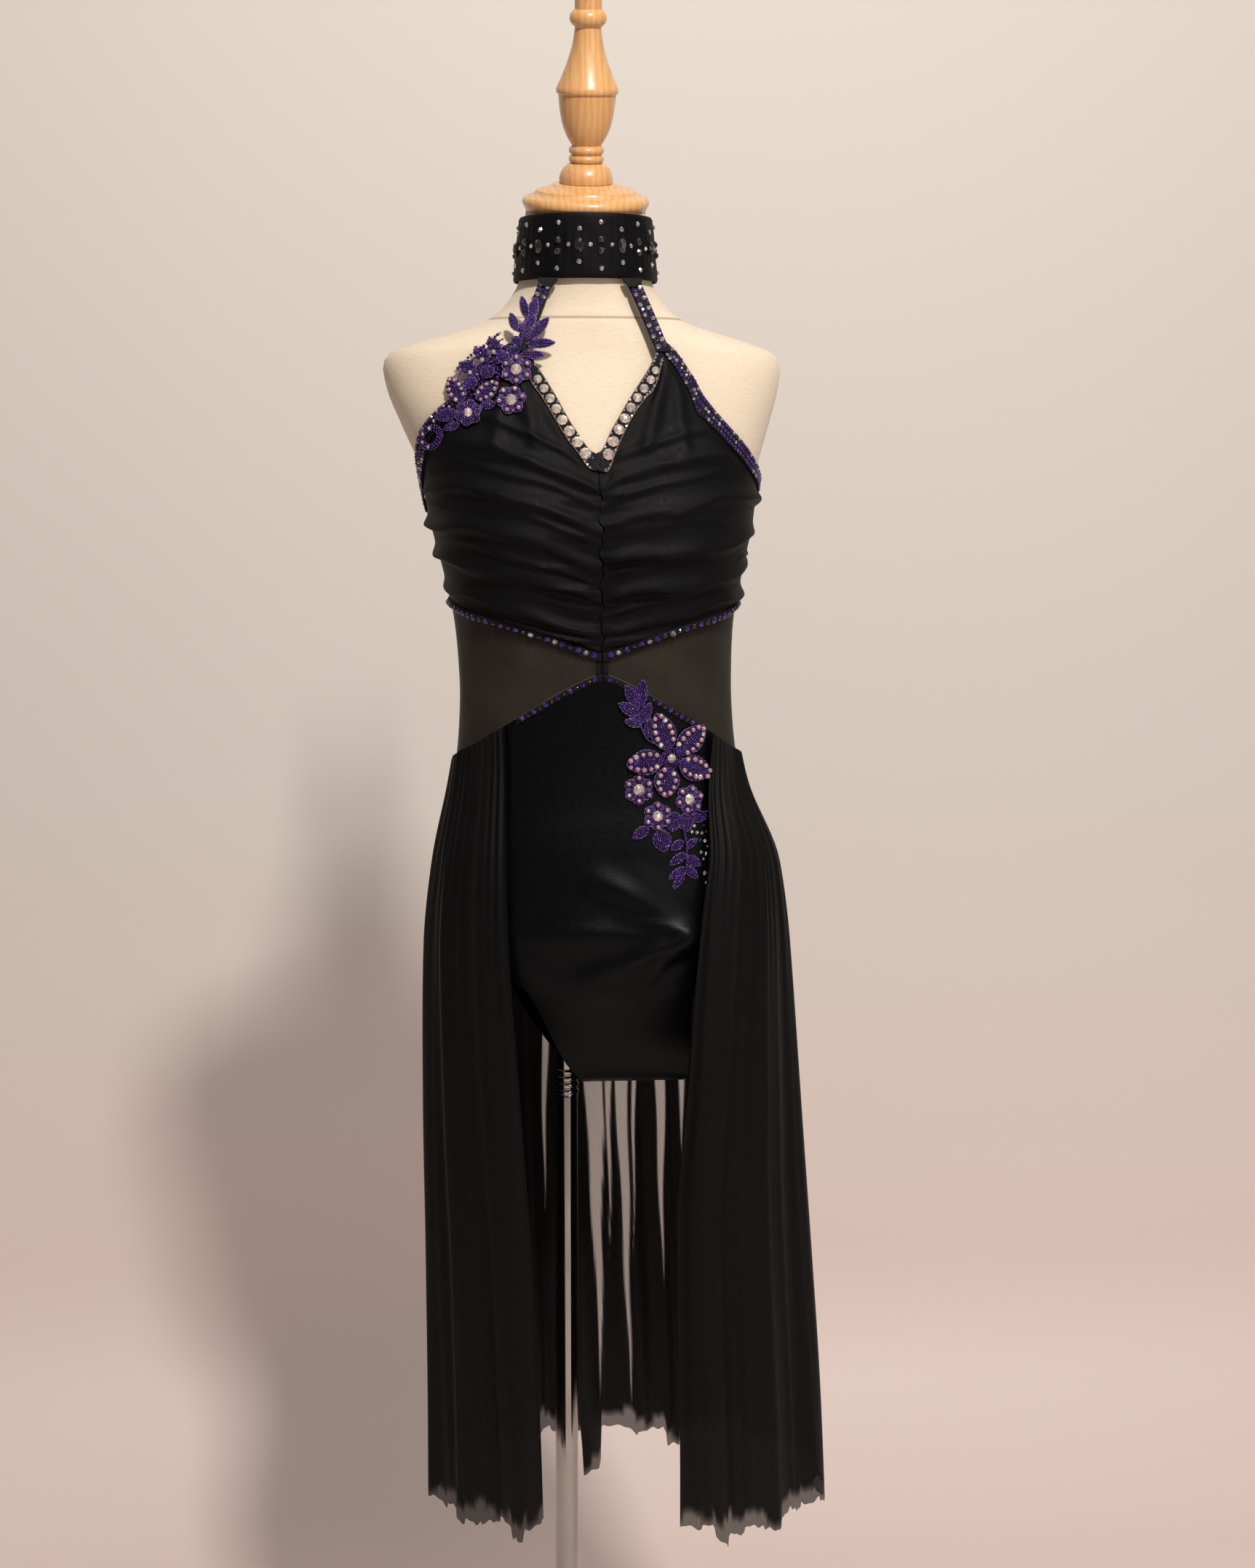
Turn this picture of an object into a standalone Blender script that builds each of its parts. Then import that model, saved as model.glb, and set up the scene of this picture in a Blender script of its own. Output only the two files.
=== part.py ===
"""A leotard dress on a limbless dress form with a wooden neck cap, standing on a steel pole and base.

Metres, +Z up. The front faces -Y and the wearer's left is at +X. The origin is the centre of the
base's underside, on the pole's axis. The torso stands a little to +X of the pole, and each piece of
cloth is a wall over a tube of sections, which the torso fills where the dress is worn close.
"""

import math
from collections import namedtuple

import bmesh
import bpy
from mathutils import Matrix, Vector

# Cloth
CLOTH = 0.0014
SHEER_CLOTH = 0.0010
TRIM = 0.0015
EASE = 0.0019
GAP = 0.0003
SEAM = 0.0002
SEAM_TURN = 0.14
SIDE_SEAM = 100.0
SKIRT_SEAM = 125.0
HEM_HEIGHT = 0.362
HEM_DIP = 0.014
LEG_TOP = 0.935
SKIRT_TOP = 1.070
LACE = 0.0015
LACE_CLEAR = 0.0008

# Widths of the sewn-on trims
NECK_BAND_WIDTH = 0.0125
ARM_TRIM_WIDTH = 0.0100
BUST_TRIM_WIDTH = 0.0075
BRIEF_TRIM_WIDTH = 0.0062
MOST_TRIM_DROP = 2.2

# Choker
NECK_CENTRE = 0.0185
COLLAR_BOTTOM = 1.4530
COLLAR_TOP = 1.5085
COLLAR_BOTTOM_RADIUS = 0.0640
COLLAR_TOP_RADIUS = 0.0585
COLLAR_BOTTOM_FORWARD = 0.0020
COLLAR_TOP_FORWARD = 0.0075
COLLAR_WALL = 0.0022
HOOK_TURNS = (0.7, 8.0)
HOOK_HEIGHT = 0.030
HOOK_THICK = 0.0012

# Straps: offsets from the neck's middle at the choker and at the peaks
STRAP_TOP = 0.0365
STRAP_FOOT = 0.0610
STRAP_WIDTH = 0.0122
STRAP_THICK = 0.0022

# Neck, cap and finial
NECK_TOP = Vector((NECK_CENTRE, -0.0080, 1.5150))
NECK_LEAN = math.radians(12.0)
NECK_RADIUS = 0.0525
CAP_HEIGHT = 0.0235

# Stand
BASE_RADIUS = 0.170
BASE_THICK = 0.008
HUB_RADIUS = 0.026
HUB_TOP = 0.040
POLE_RADIUS = 0.0104
UPPER_POLE_RADIUS = 0.0094
FERRULE_BOTTOM = 0.724
FERRULE_TOP = 0.768
FERRULE_RADIUS = 0.0106
FERRULE_GROOVES = 4
GROOVE_PITCH = 0.0062
FLANGE_BOTTOM = 0.8330
FLANGE_RADIUS = 0.036
SOCKET_RADIUS = 0.014
FORM_BOTTOM = 0.8420

MERGE = 1e-5

Section = namedtuple("Section", "height centre forward half_width front back fullness")

# The torso, bottom to top: a general figure, cut off at the hips and at the shoulders.
FORM = [
    Section(FORM_BOTTOM, 0.0310, 0.0, 0.1340, 0.0870, 0.0960, 2.35),
    Section(0.850, 0.0315, 0.0, 0.1395, 0.0930, 0.1030, 2.35),
    Section(0.880, 0.0315, 0.0, 0.1430, 0.0970, 0.1100, 2.35),
    Section(0.920, 0.0315, 0.0, 0.1405, 0.0970, 0.1110, 2.35),
    Section(0.960, 0.0305, 0.0, 0.1345, 0.0935, 0.1060, 2.35),
    Section(1.000, 0.0290, 0.0, 0.1285, 0.0885, 0.0975, 2.35),
    Section(1.040, 0.0280, 0.0, 0.1225, 0.0840, 0.0880, 2.35),
    Section(1.068, 0.0276, 0.0, 0.1200, 0.0825, 0.0833, 2.35),
    Section(1.095, 0.0273, 0.0, 0.1190, 0.0820, 0.0805, 2.35),
    Section(1.122, 0.0267, 0.0, 0.1197, 0.0835, 0.0803, 2.35),
    Section(1.150, 0.0260, 0.0, 0.1215, 0.0860, 0.0815, 2.35),
    Section(1.176, 0.0255, 0.0, 0.1252, 0.0905, 0.0845, 2.35),
    Section(1.200, 0.0250, 0.0, 0.1300, 0.0950, 0.0880, 2.35),
    Section(1.240, 0.0240, 0.0, 0.1395, 0.1000, 0.0940, 2.35),
    Section(1.285, 0.0220, 0.0, 0.1475, 0.0980, 0.0980, 2.35),
    Section(1.330, 0.0185, 0.0, 0.1630, 0.0880, 0.0990, 2.35),
    Section(1.360, 0.0165, 0.0, 0.1730, 0.0790, 0.0960, 2.35),
    Section(1.380, 0.0160, 0.0, 0.1760, 0.0725, 0.0900, 2.35),
    Section(1.391, 0.0160, 0.0, 0.1700, 0.0695, 0.0860, 2.35),
    Section(1.399, 0.0170, 0.0, 0.1510, 0.0680, 0.0840, 2.30),
    Section(1.407, 0.0185, 0.0, 0.1240, 0.0665, 0.0810, 2.20),
    Section(1.417, 0.0185, 0.0, 0.0930, 0.0650, 0.0770, 2.10),
    Section(1.431, 0.0185, 0.0, 0.0730, 0.0610, 0.0700, 2.00),
    Section(1.455, 0.0185, -0.002, 0.0585, 0.0570, 0.0575, 2.00),
    Section(1.485, 0.0185, -0.005, 0.0555, 0.0555, 0.0550, 2.00),
]

# The tube the dress is laid on. It hangs a little free at the hips, and above the bust it leaves the
# torso and leans in to the choker, as the straps do.
HIP_SLACK = 0.0020
DRESS = [
    section._replace(
        half_width=section.half_width + HIP_SLACK,
        front=section.front + HIP_SLACK,
        back=section.back + HIP_SLACK,
    )
    if section.height < 0.99
    else section
    for section in FORM
    if section.height < 1.34
]
DRESS += [
    Section(1.365, 0.0190, 0.0, 0.1700, 0.0800, 0.0970, 2.35),
    Section(1.398, 0.0185, 0.0, 0.1715, 0.0745, 0.0900, 2.35),
    Section(1.453, 0.0185, 0.0, 0.1720, 0.0530, 0.0800, 2.35),
]

# The skirt falls from the hip seam and swings to +X lower down.
SKIRT = [
    Section(HEM_HEIGHT - 0.03, 0.0555, 0.0, 0.1720, 0.1170, 0.1380, 2.35),
    Section(0.446, 0.0525, 0.0, 0.1700, 0.1160, 0.1360, 2.35),
    Section(0.587, 0.0465, 0.0, 0.1670, 0.1150, 0.1330, 2.35),
    Section(0.727, 0.0405, 0.0, 0.1640, 0.1130, 0.1290, 2.35),
    Section(0.868, 0.0365, 0.0, 0.1595, 0.1110, 0.1210, 2.35),
    Section(0.938, 0.0355, 0.0, 0.1520, 0.1070, 0.1190, 2.35),
    Section(1.009, 0.0290, 0.0, 0.1320, 0.0932, 0.1012, 2.35),
    Section(1.034, 0.0283, 0.0, 0.1280, 0.0893, 0.0940, 2.35),
    Section(1.080, 0.0276, 0.0, 0.1240, 0.0870, 0.0870, 2.35),
]

# Bust: two soft mounds on the torso, which the bodice follows.
BUST_HEIGHT = 1.236
BUST_APART = 0.072
BUST_SPREAD = 0.044
BUST_RISE = 0.013

# Seams and edges of the dress: degrees round from the front, and height. The neckline, which isn't
# alike on both sides, is given all round; the others serve both sides.
Point = namedtuple("Point", "turn height")
NECKLINE = [
    Point(-180.0, 1.2520),
    Point(-140.0, 1.2540),
    Point(-100.0, 1.2610),
    Point(-80.0, 1.2950),
    Point(-66.0, 1.3170),
    Point(-56.8, 1.3300),
    Point(-48.0, 1.3420),
    Point(-41.0, 1.3520),
    Point(-34.5, 1.3690),
    Point(-28.5, 1.3815),
    Point(-22.5, 1.3930),
    Point(-17.5, 1.3980),
    Point(-12.6, 1.3760),
    Point(-8.4, 1.3530),
    Point(-4.0, 1.3240),
    Point(0.0, 1.3020),
    Point(4.0, 1.3240),
    Point(8.4, 1.3510),
    Point(13.3, 1.3763),
    Point(17.5, 1.3980),
    Point(19.8, 1.3936),
    Point(25.7, 1.3729),
    Point(31.2, 1.3512),
    Point(42.5, 1.3277),
    Point(55.1, 1.3097),
    Point(71.2, 1.2917),
    Point(90.0, 1.2770),
    Point(100.0, 1.2640),
    Point(140.0, 1.2540),
    Point(180.0, 1.2520),
]
UNDERBUST = [
    Point(0.0, 1.1240),
    Point(16.0, 1.1380),
    Point(36.0, 1.1500),
    Point(55.0, 1.1580),
    Point(90.0, 1.1690),
    Point(180.0, 1.1730),
]
HIP_SEAM = [
    Point(0.0, 1.1140),
    Point(14.0, 1.0975),
    Point(27.0, 1.0820),
    Point(45.0, 1.0635),
    Point(60.0, 1.0500),
    Point(90.0, 1.0340),
    Point(130.0, 1.0200),
    Point(180.0, 1.0120),
]
PEAK_TURN = 17.5
PEAK_COLUMN = 3
COLUMN_BIAS = 1.15

# Ruching of the bodice: where a fold starts on the centre seam and ends on the side seam, as shares
# of the height from the underbust edge, how high and wide it is, and how far across it runs.
Fold = namedtuple("Fold", "at_centre at_side rise width begins ends")
FOLDS_LEFT = [
    Fold(0.055, 0.050, 0.0050, 0.036, 0.00, 1.00),
    Fold(0.150, 0.140, 0.0058, 0.046, 0.00, 1.00),
    Fold(0.245, 0.240, 0.0052, 0.040, 0.00, 1.00),
    Fold(0.345, 0.370, 0.0050, 0.046, 0.00, 1.00),
    Fold(0.450, 0.460, 0.0034, 0.032, 0.10, 0.72),
    Fold(0.560, 0.600, 0.0056, 0.050, 0.00, 1.00),
    Fold(0.665, 0.730, 0.0040, 0.038, 0.14, 1.00),
    Fold(0.760, 0.850, 0.0052, 0.044, 0.00, 1.00),
    Fold(0.880, 0.960, 0.0040, 0.036, 0.00, 0.85),
]
FOLDS_RIGHT = [
    Fold(0.075, 0.060, 0.0040, 0.040, 0.00, 1.00),
    Fold(0.165, 0.190, 0.0030, 0.032, 0.00, 0.62),
    Fold(0.260, 0.280, 0.0056, 0.050, 0.00, 1.00),
    Fold(0.370, 0.400, 0.0034, 0.034, 0.08, 0.90),
    Fold(0.465, 0.520, 0.0050, 0.044, 0.00, 1.00),
    Fold(0.560, 0.620, 0.0032, 0.032, 0.00, 0.40),
    Fold(0.655, 0.720, 0.0052, 0.044, 0.00, 1.00),
    Fold(0.765, 0.830, 0.0042, 0.044, 0.00, 1.00),
    Fold(0.890, 0.940, 0.0030, 0.034, 0.00, 0.40),
]

# The brief below the torso: height, middle and half of its width, how far forward, how much it bows.
Row = namedtuple("Row", "height middle half depth bow")
FRONT_DROP = [
    Row(0.836, 0.0335, 0.0740, -0.0945, 0.0120),
    Row(0.815, 0.0390, 0.0670, -0.0835, 0.0100),
    Row(0.790, 0.0460, 0.0610, -0.0660, 0.0070),
    Row(0.766, 0.0530, 0.0550, -0.0420, 0.0040),
    Row(0.750, 0.0590, 0.0490, -0.0200, 0.0015),
    Row(0.7435, 0.0610, 0.0465, -SEAM, 0.0),
]
BACK_DROP = [
    Row(0.834, 0.0335, 0.0960, 0.1080, -0.0200),
    Row(0.810, 0.0390, 0.0840, 0.0910, -0.0180),
    Row(0.784, 0.0460, 0.0720, 0.0690, -0.0110),
    Row(0.762, 0.0530, 0.0600, 0.0440, -0.0050),
    Row(0.748, 0.0590, 0.0500, 0.0210, -0.0015),
    Row(0.7435, 0.0610, 0.0465, SEAM, 0.0),
]

# The leg openings: how far round the front, and round the back, the brief reaches at some heights.
FRONT_LEG = [
    Point(SIDE_SEAM - SEAM_TURN, LEG_TOP),
    Point(86.0, 0.9230),
    Point(72.0, 0.9120),
    Point(59.0, 0.9000),
    Point(46.0, 0.8830),
    Point(29.0, 0.8520),
]
BACK_LEG = [
    Point(180 - SIDE_SEAM - SEAM_TURN, LEG_TOP),
    Point(69.0, 0.9150),
    Point(58.0, 0.8900),
    Point(43.0, 0.8540),
]

# Soft pull folds across the brief, towards the hip at +X: ends, rise and half width.
Pull = namedtuple("Pull", "x_from z_from x_to z_to rise width")
PULLS = [
    Pull(0.030, 0.930, 0.098, 0.893, 0.0045, 0.011),
    Pull(-0.010, 0.885, 0.095, 0.884, 0.0055, 0.013),
    Pull(0.020, 0.852, 0.092, 0.878, 0.0050, 0.010),
]

# Skirt panels: the angle of the front edge at some heights.
SKIRT_EDGE_LEFT = [
    Point(9.5, 0.340),
    Point(12.5, 0.620),
    Point(18.0, 0.740),
    Point(26.0, 0.895),
    Point(43.0, 1.010),
    Point(50.5, 1.060),
]
SKIRT_EDGE_RIGHT = [
    Point(25.0, 0.355),
    Point(26.0, 0.587),
    Point(28.0, 0.711),
    Point(32.0, 0.865),
    Point(37.0, 1.000),
    Point(40.5, 1.070),
]
SIDE_PLEATS = 7
BACK_PLEATS = 9
PLEAT_TOP = 0.0022
PLEAT_HEM = 0.0125
PLEAT_STEPS = 4
SKIRT_ROWS = 7

# How fine the cloth is divided.
BODICE_COLUMNS = 11
RUCHE_ROWS = 24
BACK_COLUMNS = 14
BRIEF_COLUMNS = 16
TRIM_COLUMNS_LEFT = 4
TRIM_COLUMNS_RIGHT = 3
TRIM_SHORT_LEFT = 0.55
TRIM_SHORT_RIGHT = 0.25
COLLAR_SIDES = 32
STRAP_ROWS = 6
LEAF_ROWS = 4
FORM_SIDES = 32
TURNED_SIDES = 16
CAP_SIDES = 24
BASE_SIDES = 40

# Lace shapes raised on the front, by x and height as seen from the front. over is how high the trim
# or lace under a shape stands on the cloth.
ON_TRIM = TRIM + GAP
ON_LACE = ON_TRIM + LACE + 2 * GAP
Leaf = namedtuple("Leaf", "name x z to_x to_z half_width over")
LEAVES = [
    Leaf("shoulder_leaf_1", -0.0340, 1.3990, -0.0200, 1.4155, 0.0042, ON_LACE),
    Leaf("shoulder_leaf_2", -0.0370, 1.3945, -0.0130, 1.3955, 0.0038, ON_LACE),
    Leaf("shoulder_leaf_3", -0.0420, 1.3855, -0.0225, 1.3860, 0.0032, ON_LACE),
    Leaf("shoulder_leaf_4", -0.0410, 1.4180, -0.0405, 1.4330, 0.0036, ON_LACE),
    Leaf("shoulder_leaf_5", -0.0450, 1.4060, -0.0500, 1.4190, 0.0036, ON_LACE),
    Leaf("shoulder_leaf_6", -0.0970, 1.3385, -0.1110, 1.3325, 0.0060, ON_TRIM),
    Leaf("shoulder_petal", -0.0795, 1.3495, -0.0615, 1.3625, 0.0070, 0.0),
    Leaf("hip_leaf_1", 0.0655, 0.9770, 0.0520, 0.9715, 0.0050, 0.0),
    Leaf("hip_leaf_2", 0.0758, 0.9750, 0.0786, 0.9580, 0.0085, 0.0),
    Leaf("hip_leaf_3", 0.0880, 0.9770, 0.1150, 0.9865, 0.0050, 0.0),
]
Frond = namedtuple("Frond", "name leaves left right over route")
FRONDS = [
    Frond(
        "shoulder_sprig", 3, 0.0090, 0.0090, ON_TRIM,
        ((-0.0275, 1.4280), (-0.0380, 1.4100), (-0.0420, 1.3900)),
    ),
    Frond(
        "shoulder_edge", 4, 0.0090, 0.0090, ON_TRIM,
        ((-0.0610, 1.3925), (-0.0745, 1.3840), (-0.0880, 1.3715), (-0.0985, 1.3500)),
    ),
    Frond(
        "hip_sprig_top", 3, 0.0130, 0.0130, ON_TRIM,
        ((0.0640, 1.0570), (0.0560, 1.0800), (0.0540, 1.1060)),
    ),
    Frond(
        "hip_sprig_low", 3, 0.0120, 0.0120, 0.0,
        ((0.0975, 0.9730), (0.0965, 0.9520), (0.0900, 0.9320)),
    ),
]
Flower = namedtuple("Flower", "name x z radius petals depth turned rings hole over")
FLOWERS = [
    Flower("shoulder_flower_1", -0.0455, 1.3730, 0.0128, 6, 0.16, 0, (1.0,), False, ON_TRIM + GAP),
    Flower("shoulder_flower_2", -0.0502, 1.3471, 0.0120, 6, 0.16, 20, (1.0,), False, 0.0008),
    Flower("shoulder_flower_3", -0.0855, 1.3367, 0.0100, 5, 0.14, 10, (1.0,), False, ON_TRIM),
    Flower("shoulder_loop", -0.1150, 1.3173, 0.0105, 5, 0.06, 0, (0.43, 1.0), True, ON_TRIM),
    Flower("hip_flower", 0.0857, 1.0386, 0.0400, 5, 0.62, 60, (0.5, 1.0), False, ON_TRIM),
    Flower("hip_rose_1", 0.0577, 1.0120, 0.0125, 6, 0.16, 0, (1.0,), False, 0.0),
    Flower("hip_rose_2", 0.1018, 1.0020, 0.0120, 6, 0.16, 15, (1.0,), False, 0.0),
    Flower("hip_rose_3", 0.0737, 0.9885, 0.0120, 6, 0.16, 0, (1.0,), False, 0.0),
]


def material(name, colour, roughness, metallic=0.0):
    made = bpy.data.materials.new(name)
    made.use_nodes = True
    shader = made.node_tree.nodes["Principled BSDF"]
    shader.inputs["Base Color"].default_value = (*colour, 1.0)
    shader.inputs["Roughness"].default_value = roughness
    shader.inputs["Metallic"].default_value = metallic
    return made


def curve_at(xs, ys, x):
    """A smooth curve through the points (xs rising) that never overshoots them, read at x."""
    if x <= xs[0]:
        return ys[0]
    if x >= xs[-1]:
        return ys[-1]
    last = len(xs) - 1
    steps = [xs[i + 1] - xs[i] for i in range(last)]
    slopes = [(ys[i + 1] - ys[i]) / steps[i] for i in range(last)]

    def tangent(i):
        if i == 0:
            return slopes[0]
        if i == last:
            return slopes[-1]
        if slopes[i - 1] * slopes[i] <= 0:
            return 0.0
        return 2 * slopes[i - 1] * slopes[i] / (slopes[i - 1] + slopes[i])

    i = max(k for k in range(last) if xs[k] <= x)
    s = (x - xs[i]) / steps[i]
    start = (2 * s**3 - 3 * s**2 + 1) * ys[i] + (s**3 - 2 * s**2 + s) * steps[i] * tangent(i)
    end = (3 * s**2 - 2 * s**3) * ys[i + 1] + (s**3 - s**2) * steps[i] * tangent(i + 1)
    return start + end


def section_at(table, height):
    heights = [section.height for section in table]
    columns = zip(*[section[1:] for section in table])
    return Section(height, *[curve_at(heights, list(column), height) for column in columns])


def height_of(edge, turn):
    """Height of a seam or edge at an angle in degrees, from -180 to 360."""
    if turn > 180:
        turn -= 360
    if edge[0].turn >= 0:
        turn = abs(turn)
    return curve_at([point.turn for point in edge], [point.height for point in edge], turn)


def turn_of(edge, height):
    """Angle of an edge that rises with its height."""
    points = sorted(edge, key=lambda point: point.height)
    return curve_at([point.height for point in points], [point.turn for point in points], height)


def smooth(low, high, x):
    s = min(1.0, max(0.0, (x - low) / (high - low)))
    return s * s * (3 - 2 * s)


def bust(x, height):
    """How far the bust stands forward of its section."""
    rise = 0.0
    for side in (-1, 1):
        across = (x - side * BUST_APART) / BUST_SPREAD
        along = (height - BUST_HEIGHT) / BUST_SPREAD
        rise += BUST_RISE * math.exp(-(across**2 + along**2) / 2)
    return rise


def on_tube(table, turn, height):
    """A point of a tube of sections, at an angle in degrees from the front and a height."""
    section = section_at(table, height)
    sine = math.sin(math.radians(turn))
    cosine = math.cos(math.radians(turn))
    power = 2 / section.fullness
    x = section.half_width * math.copysign(abs(sine) ** power, sine)
    depth = section.front if cosine > 0 else section.back
    y = -depth * math.copysign(abs(cosine) ** power, cosine)
    if cosine > 0:
        y -= bust(x, height) * smooth(0.0, 0.5, cosine)
    return Vector((section.centre + x, section.forward + y, height))


def tube_normal(table, turn, height):
    step_turn, step_height = 1.5, 0.004
    round_it = on_tube(table, turn + step_turn, height) - on_tube(table, turn - step_turn, height)
    up_it = on_tube(table, turn, height + step_height) - on_tube(table, turn, height - step_height)
    return round_it.cross(up_it).normalized()


def on_dress(turn, height, lift=EASE):
    """A point of the dress's inner face and its outward direction."""
    normal = tube_normal(DRESS, turn, height)
    return on_tube(DRESS, turn, height) + normal * lift, normal


def grid_normals(rows):
    """Points with the outward direction that their neighbours give. Rows run up, columns towards +X."""
    made = []
    for i, row in enumerate(rows):
        below = rows[max(i - 1, 0)]
        above = rows[min(i + 1, len(rows) - 1)]
        pairs = []
        for j, point in enumerate(row):
            across = row[min(j + 1, len(row) - 1)] - row[max(j - 1, 0)]
            up = above[j] - below[j]
            pairs.append((point, across.cross(up).normalized()))
        made.append(pairs)
    return made


def new_object(name, mesh, finish, sharp=40.0):
    bmesh.ops.recalc_face_normals(mesh, faces=mesh.faces)
    data = bpy.data.meshes.new(name)
    mesh.to_mesh(data)
    mesh.free()
    data.materials.append(finish)
    data.shade_smooth()
    data.set_sharp_from_angle(angle=math.radians(sharp))
    made = bpy.data.objects.new(name, data)
    bpy.context.scene.collection.objects.link(made)
    return made


def wall(name, rows, finish, thick=CLOTH, lift=0.0, ring=False, centre=None):
    """A sheet of cloth as a closed wall. rows hold (inner point, outward direction).

    Rings of a flat shape go outwards, and a centre closes the first of them.
    """
    mesh = bmesh.new()
    inner = [[mesh.verts.new(point + normal * lift) for point, normal in row] for row in rows]
    outer = [[mesh.verts.new(point + normal * (lift + thick)) for point, normal in row] for row in rows]
    columns = len(rows[0])
    spans = columns if ring else columns - 1
    for i in range(len(rows) - 1):
        for j in range(spans):
            k = (j + 1) % columns
            for grid, flip in ((outer, False), (inner, True)):
                a, b, c, d = grid[i][j], grid[i][k], grid[i + 1][k], grid[i + 1][j]
                for face in ((a, b, c), (a, c, d)):
                    mesh.faces.new(face[::-1] if flip else face)
    if centre:
        point, normal = centre
        for grid, height in ((outer, lift + thick), (inner, lift)):
            middle = mesh.verts.new(point + normal * height)
            for j in range(spans):
                mesh.faces.new((middle, grid[0][j], grid[0][(j + 1) % columns]))
    for i in (len(rows) - 1,) if centre else (0, len(rows) - 1):
        for j in range(spans):
            k = (j + 1) % columns
            mesh.faces.new((inner[i][j], inner[i][k], outer[i][k], outer[i][j]))
    if not ring:
        for j in (0, columns - 1):
            for i in range(len(rows) - 1):
                mesh.faces.new((inner[i][j], inner[i + 1][j], outer[i + 1][j], outer[i][j]))
    return new_object(name, mesh, finish)


def lathe(name, profile, finish, sides, place=None, sharp=40.0):
    """A turned piece. The profile's points are (radius, height); radius 0 closes it on the axis."""
    mesh = bmesh.new()
    points = [mesh.verts.new((radius, 0.0, height)) for radius, height in profile]
    edges = [mesh.edges.new(pair) for pair in zip(points, points[1:])]
    bmesh.ops.spin(
        mesh, geom=points + edges, axis=(0, 0, 1), cent=(0, 0, 0), steps=sides, angle=math.tau, use_merge=True
    )
    bmesh.ops.remove_doubles(mesh, verts=mesh.verts, dist=MERGE)
    if place:
        bmesh.ops.transform(mesh, matrix=place, verts=mesh.verts)
    return new_object(name, mesh, finish, sharp)


def arc(centre_radius, centre_height, size, start, end, steps):
    """Points of an arc in a turned profile, with angles in degrees from outwards, upwards."""
    angles = [math.radians(start + (end - start) * i / steps) for i in range(steps + 1)]
    return [(centre_radius + size * math.cos(a), centre_height + size * math.sin(a)) for a in angles]


def make_torso(finish):
    """The torso: rings up to the neck, whose top is cut on a slope for the cap."""
    mesh = bmesh.new()
    turns = [360.0 * k / FORM_SIDES for k in range(FORM_SIDES)]
    rings = [[mesh.verts.new(on_tube(FORM, turn, section.height)) for turn in turns] for section in FORM]
    top = []
    for turn in turns:
        x = NECK_RADIUS * math.sin(math.radians(turn))
        y = -NECK_RADIUS * math.cos(math.radians(turn))
        top.append(mesh.verts.new(NECK_TOP + Vector((x, y, y * math.tan(NECK_LEAN)))))
    rings.append(top)
    for low, high in zip(rings, rings[1:]):
        for j in range(FORM_SIDES):
            k = (j + 1) % FORM_SIDES
            mesh.faces.new((low[j], low[k], high[k]))
            mesh.faces.new((low[j], high[k], high[j]))
    mesh.faces.new(rings[0])
    mesh.faces.new(rings[-1])
    new_object("form_torso", mesh, finish)


def neck_frame(above):
    """Placement of a turned piece that sits this far above the neck's sloped top."""
    lean = Matrix.Rotation(NECK_LEAN, 4, "X")
    return Matrix.Translation(NECK_TOP) @ lean @ Matrix.Translation((0, 0, above))


def make_cap(finish):
    """Wooden cap: a rounded disc with a step and a low rim on top."""
    profile = [(0.0, 0.0), (NECK_RADIUS, 0.0)]
    profile += arc(0.0505, 0.0075, 0.0052, -40, 70, 4)
    profile += [(0.0445, 0.0165), (0.0430, 0.0180), (0.0330, 0.0212), (0.0300, 0.0222), (0.0285, CAP_HEIGHT)]
    profile += [(0.0, CAP_HEIGHT)]
    lathe("neck_cap", profile, finish, CAP_SIDES, neck_frame(GAP))


def make_finial(finish):
    """Turned finial: dome, two rings, cup with a lip, long neck, bead and a plain rounded post."""
    profile = [(0.0, 0.0), (0.0232, 0.0), (0.0236, 0.004), (0.0215, 0.0115), (0.0160, 0.0165)]
    profile += arc(0.0118, 0.0205, 0.0037, -70, 70, 2)
    profile += arc(0.0118, 0.0280, 0.0037, -70, 70, 2)
    profile += [(0.0128, 0.0322), (0.0178, 0.0405), (0.0222, 0.0530), (0.0243, 0.0660), (0.0252, 0.0755)]
    profile += [(0.0271, 0.0770), (0.0268, 0.0812), (0.0225, 0.0905), (0.0172, 0.1045), (0.0134, 0.1180)]
    profile += [(0.0114, 0.1310)]
    profile += arc(0.0082, 0.1395, 0.0080, -60, 60, 3)
    profile += [(0.0118, 0.1478), (0.0118, 0.1680)]
    profile += arc(0.0, 0.1680, 0.0118, 25, 90, 3)
    profile[-1] = (0.0, profile[-1][1])
    lathe("finial", profile, finish, TURNED_SIDES, neck_frame(CAP_HEIGHT + 2 * GAP))


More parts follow.
